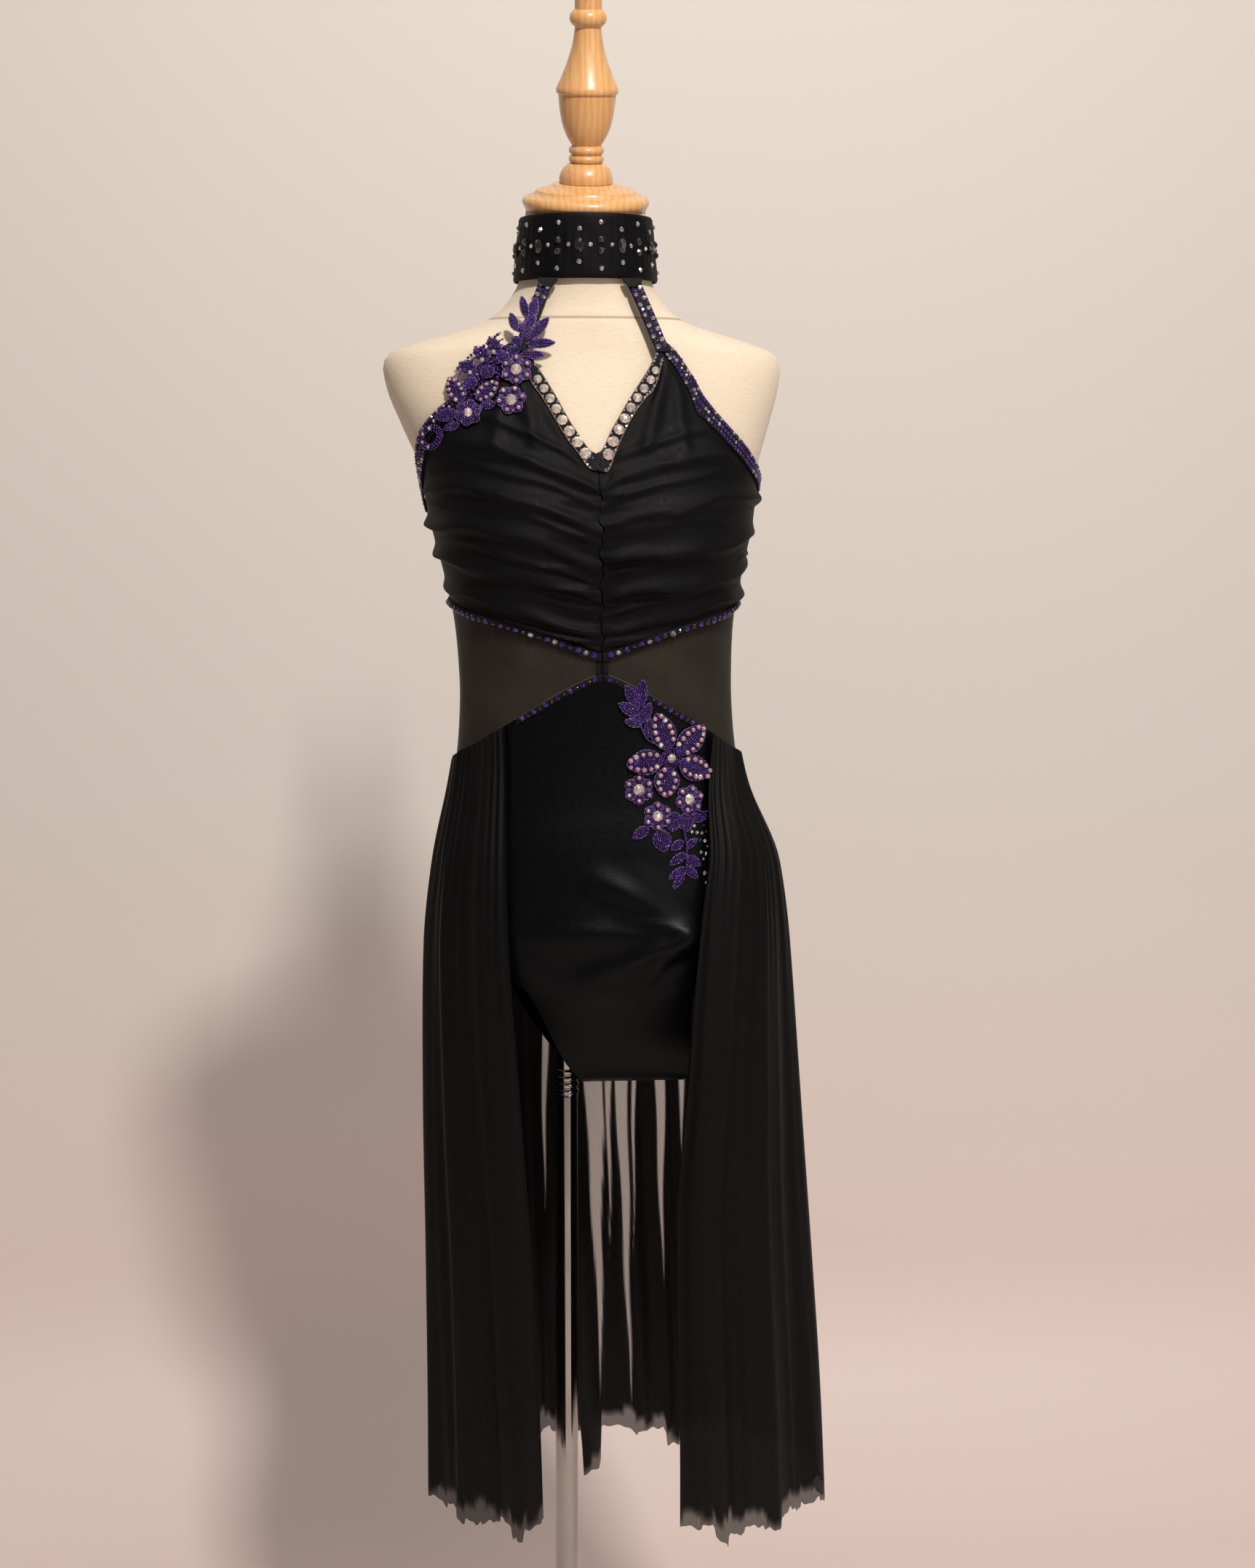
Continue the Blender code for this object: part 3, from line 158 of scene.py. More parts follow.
# Torso of the form: a limbless padded body covered in cream linen, in a plain weave with slubs. The
# cover is pulled smooth over the shoulders and sewn to a neck piece, with a seam round the neck's foot.
FORM = np.array([
    (0.8420, 0.0310, 0.0, 0.1340, 0.0870, 0.0960, 2.35),
    (0.8500, 0.0315, 0.0, 0.1395, 0.0930, 0.1030, 2.35),
    (0.8800, 0.0315, 0.0, 0.1430, 0.0970, 0.1100, 2.35),
    (0.9200, 0.0315, 0.0, 0.1405, 0.0970, 0.1110, 2.35),
    (0.9600, 0.0305, 0.0, 0.1345, 0.0935, 0.1060, 2.35),
    (1.0000, 0.0290, 0.0, 0.1285, 0.0885, 0.0975, 2.35),
    (1.0400, 0.0280, 0.0, 0.1225, 0.0840, 0.0880, 2.35),
    (1.0680, 0.0276, 0.0, 0.1200, 0.0825, 0.0833, 2.35),
    (1.0950, 0.0273, 0.0, 0.1190, 0.0820, 0.0805, 2.35),
    (1.1220, 0.0267, 0.0, 0.1197, 0.0835, 0.0803, 2.35),
    (1.1500, 0.0260, 0.0, 0.1215, 0.0860, 0.0815, 2.35),
    (1.1760, 0.0255, 0.0, 0.1252, 0.0905, 0.0845, 2.35),
    (1.2000, 0.0250, 0.0, 0.1300, 0.0950, 0.0880, 2.35),
    (1.2400, 0.0240, 0.0, 0.1395, 0.1000, 0.0940, 2.35),
    (1.2850, 0.0220, 0.0, 0.1475, 0.0980, 0.0980, 2.35),
    (1.3300, 0.0185, 0.0, 0.1630, 0.0880, 0.0990, 2.35),
    (1.3600, 0.0165, 0.0, 0.1730, 0.0790, 0.0960, 2.35),
    (1.3800, 0.0160, 0.0, 0.1760, 0.0725, 0.0900, 2.35),
    (1.3910, 0.0160, 0.0, 0.1700, 0.0695, 0.0860, 2.35),
    (1.3990, 0.0170, 0.0, 0.1510, 0.0680, 0.0840, 2.30),
    (1.4070, 0.0185, 0.0, 0.1240, 0.0665, 0.0810, 2.20),
    (1.4170, 0.0185, 0.0, 0.0930, 0.0650, 0.0770, 2.10),
    (1.4310, 0.0185, 0.0, 0.0730, 0.0610, 0.0700, 2.00),
    (1.4550, 0.0185, -0.002, 0.0585, 0.0570, 0.0575, 2.00),
    (1.4850, 0.0185, -0.005, 0.0555, 0.0555, 0.0550, 2.00),
])
BUST_HEIGHT, BUST_APART, BUST_SPREAD, BUST_RISE = 1.236, 0.072, 0.044, 0.013
NECK_CENTRE = 0.0185
NECK_TOP = Vector((NECK_CENTRE, -0.0080, 1.5150))
NECK_LEAN = math.radians(12.0)
NECK_RADIUS = 0.0525


def curve_at(xs, ys, x):
    """A smooth curve through the points (xs rising) that never overshoots them, read at each x."""
    xs, ys = np.asarray(xs, float), np.asarray(ys, float)
    x = np.clip(x, xs[0], xs[-1])
    i = np.clip(np.searchsorted(xs, x, side="right") - 1, 0, len(xs) - 2)
    steps = np.diff(xs)
    slopes = np.diff(ys) / steps
    tangents = np.zeros(len(xs))
    tangents[0], tangents[-1] = slopes[0], slopes[-1]
    both = slopes[:-1] * slopes[1:]
    total = np.where(both > 0, slopes[:-1] + slopes[1:], 1.0)
    tangents[1:-1] = np.where(both > 0, 2 * both / total, 0.0)
    s = (x - xs[i]) / steps[i]
    start = (2 * s**3 - 3 * s**2 + 1) * ys[i] + (s**3 - 2 * s**2 + s) * steps[i] * tangents[i]
    return start + (3 * s**2 - 2 * s**3) * ys[i + 1] + (s**3 - s**2) * steps[i] * tangents[i + 1]


def smooth(low, high, x):
    """A soft step from 0 at low to 1 at high."""
    s = np.clip((np.asarray(x, float) - low) / (high - low), 0.0, 1.0)
    return s * s * (3 - 2 * s)


def on_tube(table, turn, height):
    """Points of a tube of sections, at angles in degrees from the front and heights."""
    turn, height = np.broadcast_arrays(np.asarray(turn, float), np.asarray(height, float))
    centre, forward, half, front, back, fullness = (
        curve_at(table[:, 0], table[:, k], height) for k in range(1, 7)
    )
    sine, cosine = np.sin(np.radians(turn)), np.cos(np.radians(turn))
    power = 2 / fullness
    x = half * np.sign(sine) * np.abs(sine) ** power
    y = -np.where(cosine > 0, front, back) * np.sign(cosine) * np.abs(cosine) ** power
    for side in (-1, 1):
        across = (x - side * BUST_APART) / BUST_SPREAD
        along = (height - BUST_HEIGHT) / BUST_SPREAD
        y = y - BUST_RISE * np.exp(-(across**2 + along**2) / 2) * smooth(0.0, 0.5, cosine)
    return np.stack([centre + x, forward + y, height], axis=-1)


def unit(vectors):
    return vectors / np.maximum(np.linalg.norm(vectors, axis=-1, keepdims=True), 1e-12)


def tube_normal(table, turn, height):
    """Outward directions of a tube of sections."""
    turn, height = np.asarray(turn, float), np.asarray(height, float)
    round_it = on_tube(table, turn + 1.5, height) - on_tube(table, turn - 1.5, height)
    up_it = on_tube(table, turn, height + 0.004) - on_tube(table, turn, height - 0.004)
    return unit(np.cross(round_it, up_it))


def take_mesh(name, points, faces, uvs=None):
    """An object at the origin from points, faces and a place on the cloth for each point."""
    data = bpy.data.meshes.new(name)
    data.from_pydata([tuple(p) for p in points], [], [tuple(int(v) for v in f) for f in faces])
    if uvs is not None:
        layer = data.uv_layers.new(name="UVMap")
        corners = np.empty(len(data.loops), dtype=np.int32)
        data.loops.foreach_get("vertex_index", corners)
        layer.data.foreach_set("uv", np.asarray(uvs, np.float32)[corners].ravel())
    data.validate()
    made = bpy.data.objects.new(name, data)
    bpy.context.scene.collection.objects.link(made)
    return made


def grid_faces(rows, columns, ring=False):
    """Faces of a grid whose rows run up and whose columns run towards +X as seen from the front."""
    spans = columns if ring else columns - 1
    i, j = np.meshgrid(np.arange(rows - 1), np.arange(spans), indexing="ij")
    k = (j + 1) % columns
    low, high = i * columns, (i + 1) * columns
    return np.stack([low + j, low + k, high + k, high + j], -1).reshape(-1, 4)


def pick(piece):
    """Selects one piece for the operators that follow."""
    bpy.ops.object.select_all(action="DESELECT")
    piece.select_set(True)
    bpy.context.view_layer.objects.active = piece


def shade(piece, angle):
    """Smooth shading, but for edges sharper than the angle."""
    pick(piece)
    bpy.ops.object.shade_smooth_by_angle(angle=math.radians(angle))


FORM_SIDES = 120
turns = np.arange(FORM_SIDES) * 360.0 / FORM_SIDES
levels = np.concatenate([np.linspace(0.842, 1.385, 70), np.linspace(1.388, 1.485, 44)])
rings = [on_tube(FORM, turns, level) for level in levels]
neck_x = NECK_RADIUS * np.sin(np.radians(turns))
neck_y = -NECK_RADIUS * np.cos(np.radians(turns))
neck_top = np.stack([neck_x, neck_y, neck_y * math.tan(NECK_LEAN)], -1) + np.array(NECK_TOP)
for share in (0.25, 0.5, 0.75, 1.0):
    rings.append(rings[len(levels) - 1] * (1 - share) + neck_top * share)
# the seam between the body's cover and the neck piece is a fine groove, a little higher behind
NECK_SEAM, SEAM_SLOPE = 1.4210, 0.02
points = np.concatenate(rings)
axis_x = points[:, 0] - NECK_CENTRE
axis_y = points[:, 1]
groove = 0.0008 * np.exp(-(((points[:, 2] - NECK_SEAM - SEAM_SLOPE * axis_y) / 0.0022) ** 2))
outward = unit(np.stack([axis_x, axis_y, np.zeros(len(points))], -1))
points = points - outward * groove[:, None]
faces = [list(f) for f in grid_faces(len(rings), FORM_SIDES, ring=True)]
last = (len(rings) - 1) * FORM_SIDES
faces.append(list(range(FORM_SIDES))[::-1])
faces.append(list(range(last, last + FORM_SIDES)))
linen_torso = take_mesh("linen_torso", points, faces)
shade(linen_torso, 50)


def new_group(name, numbers, results):
    """An empty shader group: a vector and the named numbers go in, the named results come out."""
    group = bpy.data.node_groups.new(name, "ShaderNodeTree")
    sockets = [("Vector", "INPUT", "NodeSocketVector")]
    sockets += [(label, "INPUT", "NodeSocketFloat") for label in numbers]
    sockets += [(label, "OUTPUT", "NodeSocketFloat") for label in results]
    for label, way, kind in sockets:
        group.interface.new_socket(name=label, in_out=way, socket_type=kind)
    return group, group.nodes.new("NodeGroupInput").outputs, group.nodes.new("NodeGroupOutput").inputs


def feed(tree, value, socket):
    """Sets a socket to a number or a colour, or links another node's output to it."""
    if isinstance(value, (int, float)):
        socket.default_value = value
    elif isinstance(value, tuple):
        socket.default_value = (*value, 1)
    else:
        tree.links.new(value, socket)


def sums(tree, kind, first, second):
    """A Math node's result, from numbers or from other nodes' outputs."""
    node = tree.nodes.new("ShaderNodeMath")
    node.operation = kind
    feed(tree, first, node.inputs[0])
    feed(tree, second, node.inputs[1])
    return node.outputs[0]


def noise(tree, vector, scale, detail):
    node = tree.nodes.new("ShaderNodeTexNoise")
    node.inputs["Scale"].default_value = scale
    node.inputs["Detail"].default_value = detail
    tree.links.new(vector, node.inputs["Vector"])
    return node.outputs["Fac"]


def waves(tree, vector, scale, distortion=0.0, direction="X"):
    """Even bands that follow each other in the direction, bent by the distortion."""
    node = tree.nodes.new("ShaderNodeTexWave")
    node.bands_direction = direction
    node.inputs["Distortion"].default_value = distortion
    feed(tree, scale, node.inputs["Scale"])
    tree.links.new(vector, node.inputs["Vector"])
    return node


def scaled(tree, vector, scale):
    """The vector stretched by three numbers."""
    node = tree.nodes.new("ShaderNodeMapping")
    node.inputs["Scale"].default_value = scale
    tree.links.new(vector, node.inputs["Vector"])
    return node.outputs["Vector"]


# Plain weave: threads each way, some of them thicker slubs, for linen
linen_weave, given, out = new_group("linen_weave", ["Slub"], ["Height", "Slubs", "Tone"])
across = noise(linen_weave, scaled(linen_weave, given["Vector"], (160, 160, 1900)), 1.0, 2.0)
along = noise(linen_weave, scaled(linen_weave, given["Vector"], (1700, 1700, 140)), 1.0, 2.0)
slubs = sums(linen_weave, "MULTIPLY", sums(linen_weave, "POWER", across, 5.0), given["Slub"])
linen_weave.links.new(sums(linen_weave, "ADD", across, along), out["Height"])
linen_weave.links.new(slubs, out["Slubs"])
linen_weave.links.new(noise(linen_weave, given["Vector"], 9.0, 3.0), out["Tone"])


def new_finish(name, roughness, metallic=0.0):
    """A material, its tree, its shader's sockets and the coordinates that it can be laid on."""
    made = bpy.data.materials.new(name)
    made.use_nodes = True
    tree = made.node_tree
    shader = tree.nodes["Principled BSDF"].inputs
    shader["Roughness"].default_value = roughness
    shader["Metallic"].default_value = metallic
    return made, tree, shader, tree.nodes.new("ShaderNodeTexCoord").outputs


def placed(tree, group, vector, **numbers):
    """A shader group read at the vector. Returns its outputs."""
    node = tree.nodes.new("ShaderNodeGroup")
    node.node_tree = group
    tree.links.new(vector, node.inputs["Vector"])
    for label, value in numbers.items():
        feed(tree, value, node.inputs[label])
    return node.outputs


def blended(tree, factor, first, second):
    """A mix of two colours, or of a colour and another node's output."""
    node = tree.nodes.new("ShaderNodeMix")
    node.data_type = "RGBA"
    for label, value in (("Factor", factor), ("A", first), ("B", second)):
        feed(tree, value, node.inputs[label])
    return node.outputs["Result"]


def remapped(tree, value, low, high, to_low, to_high):
    """A value's range moved to another range."""
    node = tree.nodes.new("ShaderNodeMapRange")
    tree.links.new(value, node.inputs["Value"])
    for label, number in (("From Min", low), ("From Max", high), ("To Min", to_low), ("To Max", to_high)):
        node.inputs[label].default_value = number
    return node.outputs["Result"]


def bumped(tree, shader, height, strength, distance):
    node = tree.nodes.new("ShaderNodeBump")
    node.inputs["Strength"].default_value = strength
    node.inputs["Distance"].default_value = distance
    tree.links.new(height, node.inputs["Height"])
    tree.links.new(node.outputs["Normal"], shader["Normal"])


def fit_out(piece, finish, slot_name, *nodes):
    """Gives a piece its material and its body, and hides the solids that it stands for. slot_name is not
    used.
    """
    piece.data.materials.append(finish)
    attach(piece, "root")
    if nodes:
        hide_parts(*nodes)


linen, tree, shader, place = new_finish("linen_cover", 0.88)
weave = placed(tree, linen_weave, place["Object"], Slub=1.0)
pale = blended(tree, weave["Tone"], (0.650, 0.545, 0.425), (0.730, 0.625, 0.500))
slubbed = blended(tree, remapped(tree, weave["Slubs"], 0.02, 0.16, 0.0, 0.8), pale, (0.60, 0.50, 0.36))
# the stitched seam round the neck's foot shows as a thin line of painted shade
spots = tree.nodes.new("ShaderNodeSeparateXYZ")
tree.links.new(place["Object"], spots.inputs["Vector"])
slope = sums(tree, "MULTIPLY", spots.outputs["Y"], SEAM_SLOPE)
off_seam = sums(tree, "SUBTRACT", spots.outputs["Z"], slope)
off_seam = sums(tree, "ABSOLUTE", sums(tree, "SUBTRACT", off_seam, NECK_SEAM), 0.0)
seam_painted_shade = blended(tree, remapped(tree, off_seam, 0.0004, 0.0016, 0.75, 0.0), slubbed, (0.30, 0.22, 0.14))
tree.links.new(seam_painted_shade, shader["Base Color"])
shader["Sheen Weight"].default_value = 0.15
bumped(tree, shader, weave["Height"], 0.35, 0.0006)
fit_out(linen_torso, linen, "linen", "form_torso")


# Wooden neck cap and finial: turned in beech, stained honey and lacquered. The finial's post is
# doweled through the cap into the neck.
CAP_HEIGHT = 0.0235
NECK_GAP = 0.0003


def arc(radius, height, size, start, end, steps):
    """Points of an arc in a turned profile, angles in degrees from outwards, upwards."""
    angles = np.radians(np.linspace(start, end, steps + 1))
    return [(radius + size * math.cos(a), height + size * math.sin(a)) for a in angles]


def turn_piece(name, profile, sides):
    """A turned piece on the Z axis: its profile drawn point by point, then spun and merged."""
    bpy.ops.object.select_all(action="DESELECT")
    bpy.ops.mesh.primitive_plane_add(size=0.01)
    piece = bpy.context.object
    piece.name = name
    bpy.ops.object.mode_set(mode="EDIT")
    bpy.ops.mesh.select_mode(type="VERT")
    bpy.ops.mesh.select_all(action="SELECT")
    bpy.ops.mesh.merge(type="CENTER")
    spot = (0.0, 0.0)
    for number, (radius, height) in enumerate(profile):
        move = {"value": (radius - spot[0], 0.0, height - spot[1])}
        if number:
            bpy.ops.mesh.extrude_region_move(TRANSFORM_OT_translate=move)
        else:
            bpy.ops.transform.translate(value=move["value"])
        spot = (radius, height)
    bpy.ops.mesh.select_all(action="SELECT")
    bpy.ops.mesh.spin(steps=sides, angle=math.tau, center=(0, 0, 0), axis=(0, 0, 1))
    bpy.ops.mesh.select_all(action="SELECT")
    bpy.ops.mesh.remove_doubles(threshold=0.00001)
    bpy.ops.mesh.normals_make_consistent(inside=False)
    bpy.ops.object.mode_set(mode="OBJECT")
    shade(piece, 35)
    return piece


neck_frame = Matrix.Translation(NECK_TOP) @ Matrix.Rotation(NECK_LEAN, 4, "X")
cap_profile = [(0.0, 0.0), (0.0525, 0.0)] + arc(0.0505, 0.0075, 0.0052, -40, 70, 10)
cap_profile += [(0.0470, 0.0141), (0.0445, 0.0160), (0.0438, 0.0174), (0.0425, 0.0181), (0.0330, 0.0210)]
cap_profile += [(0.0312, 0.0214), (0.0300, 0.0222), (0.0288, 0.0233), (0.0276, CAP_HEIGHT)]
cap_profile += [(0.0, CAP_HEIGHT)]
cap = turn_piece("wooden_cap", cap_profile, 96)
cap.data.transform(neck_frame @ Matrix.Translation((0, 0, NECK_GAP)))
# the finial from its foot up: round foot, two rings, bowl, rim, throat, ball and a domed tip
finial_profile = [(0.0, 0.0), (0.0232, 0.0), (0.0237, 0.0035), (0.0226, 0.0085), (0.0200, 0.0130)]
finial_profile += [(0.0160, 0.0165), (0.0131, 0.0172)]
finial_profile += arc(0.0118, 0.0205, 0.0037, -62, 62, 6) + arc(0.0118, 0.0280, 0.0037, -62, 62, 6)
bowl_marks, bowl_radii = [0.0322, 0.0405, 0.0530, 0.0660, 0.0755], [0.0128, 0.0178, 0.0222, 0.0243, 0.0252]
bowl_heights = np.linspace(0.0322, 0.0755, 12)
finial_profile += list(zip(curve_at(bowl_marks, bowl_radii, bowl_heights), bowl_heights))
finial_profile += [(0.0264, 0.0762), (0.0271, 0.0772), (0.0271, 0.0800), (0.0266, 0.0814)]
neck_marks, neck_radii = [0.0812, 0.0905, 0.1045, 0.1180, 0.1310], [0.0268, 0.0225, 0.0172, 0.0134, 0.0114]
neck_heights = np.linspace(0.0830, 0.1310, 16)
finial_profile += list(zip(curve_at(neck_marks, neck_radii, neck_heights), neck_heights))
finial_profile += arc(0.0082, 0.1395, 0.0080, -60, 60, 8) + [(0.0118, 0.1468), (0.0118, 0.1680)]
finial_profile += arc(0.0048, 0.1722, 0.0070, 0, 80, 6) + [(0.0, 0.1798)]
finial = turn_piece("turned_finial", finial_profile, 64)
finial.data.transform(neck_frame @ Matrix.Translation((0, 0, CAP_HEIGHT + 2 * NECK_GAP)))

# Growth rings and fine pores, stretched along the turning axis
wood_grain, given, out = new_group("wood_grain", [], ["Rings", "Pores", "Cloud"])
lined = waves(wood_grain, scaled(wood_grain, given["Vector"], (1.0, 1.0, 0.12)), 55.0, 5.0)
lined.inputs["Detail"].default_value = 2.5
wood_grain.links.new(lined.outputs["Fac"], out["Rings"])
fine = noise(wood_grain, scaled(wood_grain, given["Vector"], (900, 900, 60)), 1.0, 1.0)
wood_grain.links.new(fine, out["Pores"])
wood_grain.links.new(noise(wood_grain, given["Vector"], 14.0, 2.0), out["Cloud"])
wood, tree, shader, place = new_finish("lacquered_wood", 0.34)
grain = placed(tree, wood_grain, place["Object"])
honey = blended(tree, grain["Cloud"], (0.60, 0.31, 0.115), (0.72, 0.42, 0.175))
ringed = blended(tree, remapped(tree, grain["Rings"], 0.25, 1.0, 0.0, 0.42), honey, (0.50, 0.22, 0.065))
pored = blended(tree, remapped(tree, grain["Pores"], 0.62, 0.80, 0.0, 0.5), ringed, (0.36, 0.15, 0.045))
tree.links.new(pored, shader["Base Color"])
tree.links.new(remapped(tree, grain["Pores"], 0.3, 0.8, 0.26, 0.42), shader["Roughness"])
shader["Coat Weight"].default_value = 0.45
shader["Coat Roughness"].default_value = 0.12
bumped(tree, shader, grain["Pores"], 0.15, 0.0003)
fit_out(cap, wood, "turned_wood", "neck_cap")
fit_out(finial, wood, "turned_wood", "finial")


# Stand: two chromed tubes that slide in each other under a grooved grip ferrule, a flange screwed
# under the torso, and a round brushed steel base with a hub.
BASE_RADIUS, BASE_THICK = 0.170, 0.008
hole = 0.0107
floor_gap = 0.0083
plate_profile = [(0.0, 0.0), (0.1690, 0.0), (BASE_RADIUS, 0.0010), (BASE_RADIUS, 0.0060), (0.1694, 0.0074)]
plate_profile += [(0.1680, BASE_THICK), (0.0, BASE_THICK)]
hub_profile = [(hole, floor_gap), (0.0260, floor_gap), (0.0260, 0.0130), (0.0252, 0.0150), (0.0212, 0.0335)]
hub_profile += [(0.0200, 0.0372), (0.0180, 0.0396), (0.0165, 0.0400), (hole, 0.0400), (hole, floor_gap)]
lower_profile = [(0.0, floor_gap), (0.0104, floor_gap), (0.0104, 0.7233), (0.0100, 0.7237), (0.0, 0.7237)]
grip_profile = [(0.0, 0.7240), (0.0100, 0.7240), (0.0106, 0.7246)]
for groove in range(4):
    grip_profile += arc(0.0088, 0.7280 + 0.0062 * groove, 0.0028, -58, 58, 6)
grip_profile += [(0.0103, 0.7505), (0.0106, 0.7515), (0.0106, 0.7672), (0.0103, 0.7678), (0.0098, 0.7680)]
grip_profile += [(0.0, 0.7680)]
upper_profile = [(0.0, 0.7683), (0.0094, 0.7683), (0.0094, 0.8327), (0.0, 0.8327)]
flange_profile = [(0.0, 0.8330), (0.0140, 0.8330), (0.0140, 0.8370), (0.0146, 0.8380), (0.0352, 0.8382)]
flange_profile += [(0.0360, 0.8390), (0.0360, 0.8417), (0.0, 0.8417)]
# Smudges and fine scratches along the tubes
steel_wear, given, out = new_group("steel_wear", [], ["Smudge", "Scratch"])
steel_wear.links.new(noise(steel_wear, given["Vector"], 28.0, 4.0), out["Smudge"])
scratch = noise(steel_wear, scaled(steel_wear, given["Vector"], (900, 900, 7)), 1.0, 1.0)
steel_wear.links.new(scratch, out["Scratch"])
chrome, tree, shader, place = new_finish("chromed_tube", 0.10, 1.0)
wear = placed(tree, steel_wear, place["Object"])
smudged = remapped(tree, wear["Smudge"], 0.35, 0.75, 0.05, 0.19)
scratched = remapped(tree, wear["Scratch"], 0.55, 0.8, 0.0, 0.06)
tree.links.new(sums(tree, "ADD", smudged, scratched), shader["Roughness"])
dulled = blended(tree, wear["Smudge"], (0.46, 0.445, 0.42), (0.31, 0.30, 0.28))
tree.links.new(dulled, shader["Base Color"])
brushed, tree, shader, place = new_finish("brushed_base", 0.30, 1.0)
wear = placed(tree, steel_wear, place["Object"])
circles = waves(tree, place["Object"], 420.0, 1.5)
circles.wave_type = "RINGS"
circles.rings_direction = "Z"
tree.links.new(remapped(tree, circles.outputs["Fac"], 0.0, 1.0, 0.24, 0.38), shader["Roughness"])
dulled = blended(tree, wear["Smudge"], (0.60, 0.60, 0.61), (0.48, 0.48, 0.49))
tree.links.new(dulled, shader["Base Color"])
bumped(tree, shader, circles.outputs["Fac"], 0.12, 0.0002)
STAND = [
    ("base_disc", "base_plate", plate_profile, brushed, "base_steel", 128),
    ("base_collar", "base_hub", hub_profile, chrome, "bright_steel", 48),
    ("lower_tube", "pole_lower", lower_profile, chrome, "bright_steel", 48),
    ("grip_ferrule", "pole_ferrule", grip_profile, chrome, "bright_steel", 48),
    ("upper_tube", "pole_upper", upper_profile, chrome, "bright_steel", 48),
    ("torso_flange", "pole_flange", flange_profile, chrome, "bright_steel", 64),
]
for name, node, profile, finish, slot_name, sides in STAND:
    fit_out(turn_piece(name, profile, sides), finish, slot_name, node)


# Dress, bodice: black stretch jersey, two fronts gathered into the centre seam with elastic, so that
# soft uneven folds run out to the sides, and one plain low back. The edges are turned in.
CLOTH = 0.0014
EASE = 0.0019
GAP = 0.0003
HIP_SLACK = 0.0020
SEAM_TURN = 0.14
SIDE_SEAM = 100.0
close = FORM[FORM[:, 0] < 1.34].copy()
close[close[:, 0] < 0.99, 3:6] += HIP_SLACK
DRESS = np.vstack([
    close,
    (1.365, 0.0190, 0.0, 0.1700, 0.0800, 0.0970, 2.35),
    (1.398, 0.0185, 0.0, 0.1715, 0.0745, 0.0900, 2.35),
    (1.453, 0.0185, 0.0, 0.1720, 0.0530, 0.0800, 2.35),
])
NECKLINE = np.array([
    (-180.0, 1.2520), (-140.0, 1.2540), (-100.0, 1.2610), (-80.0, 1.2950), (-66.0, 1.3170), (-56.8, 1.3300),
    (-48.0, 1.3420), (-41.0, 1.3520), (-34.5, 1.3690), (-28.5, 1.3815), (-22.5, 1.3930), (-17.5, 1.3980),
    (-12.6, 1.3760), (-8.4, 1.3530), (-4.0, 1.3240), (0.0, 1.3020), (4.0, 1.3240), (8.4, 1.3510),
    (13.3, 1.3763), (17.5, 1.3980), (19.8, 1.3936), (25.7, 1.3729), (31.2, 1.3512), (42.5, 1.3277),
    (55.1, 1.3097), (71.2, 1.2917), (90.0, 1.2770), (100.0, 1.2640), (140.0, 1.2540), (180.0, 1.2520),
])
UNDERBUST = np.array([
    (0.0, 1.1240), (16.0, 1.1380), (36.0, 1.1500), (55.0, 1.1580), (90.0, 1.1690), (180.0, 1.1730),
])
HIP_SEAM = np.array([
    (0.0, 1.1140), (14.0, 1.0975), (27.0, 1.0820), (45.0, 1.0635), (60.0, 1.0500), (90.0, 1.0340),
    (130.0, 1.0200), (180.0, 1.0120),
])
PEAK_TURN = 17.5
NECK_BAND, ARM_TRIM, BUST_TRIM, BRIEF_TRIM = 0.0125, 0.0100, 0.0075, 0.0062


def height_of(edge, turn):
    """The height of an edge at angles from the front. An edge given from 0 up is the same on both sides."""
    turn = np.asarray(turn, float)
    turn = np.where(turn > 180, turn - 360, turn)
    if edge[0, 0] >= 0:
        turn = np.abs(turn)
    return curve_at(edge[:, 0], edge[:, 1], turn)


def on_dress(turn, height, lift=EASE):
    """Points of the dress's inner face and their outward directions."""
    normal = tube_normal(DRESS, turn, height)
    return on_tube(DRESS, turn, height) + normal * np.asarray(lift)[..., None], normal


def trim_drop(turn):
    """How far down the bodice's top trim reaches, measured straight down from the edge."""
    turn = np.asarray(turn, float)
    width = np.where(np.abs(turn) <= PEAK_TURN, NECK_BAND, ARM_TRIM)
    inner = np.sign(turn) * np.maximum(np.abs(turn) - 1, 0)
    outer = turn + np.where(turn < 0, -1.0, 1.0)
    step = on_tube(DRESS, outer, height_of(NECKLINE, outer))
    step = step - on_tube(DRESS, inner, height_of(NECKLINE, inner))
    level = np.hypot(step[..., 0], step[..., 1])
    return np.minimum(width * np.linalg.norm(step, axis=-1) / np.maximum(level, 1e-6), 2.2 * width)


# Folds run nearly level from the centre seam: heights at the seam, half way and at the side, rise, half
# width, and where across the front each begins and ends
FOLDS_LEFT = np.array([
    (1.1380, 1.1560, 1.1720, 0.0026, 0.0042, 0.00, 0.92),
    (1.1500, 1.1700, 1.1830, 0.0056, 0.0074, 0.00, 1.08),
    (1.1660, 1.1860, 1.1930, 0.0026, 0.0040, 0.00, 0.60),
    (1.1790, 1.1950, 1.2060, 0.0062, 0.0080, 0.03, 1.08),
    (1.1980, 1.2160, 1.2220, 0.0028, 0.0042, 0.00, 0.55),
    (1.2100, 1.2240, 1.2360, 0.0060, 0.0084, 0.00, 1.08),
    (1.2270, 1.2500, 1.2480, 0.0024, 0.0044, 0.06, 0.66),
    (1.2400, 1.2620, 1.2590, 0.0056, 0.0086, 0.00, 1.05),
    (1.2580, 1.2860, 1.2700, 0.0024, 0.0044, 0.00, 0.50),
    (1.2710, 1.3000, 1.2850, 0.0048, 0.0084, 0.00, 0.80),
    (1.2870, 1.3260, 1.3000, 0.0026, 0.0050, 0.02, 0.46),
])
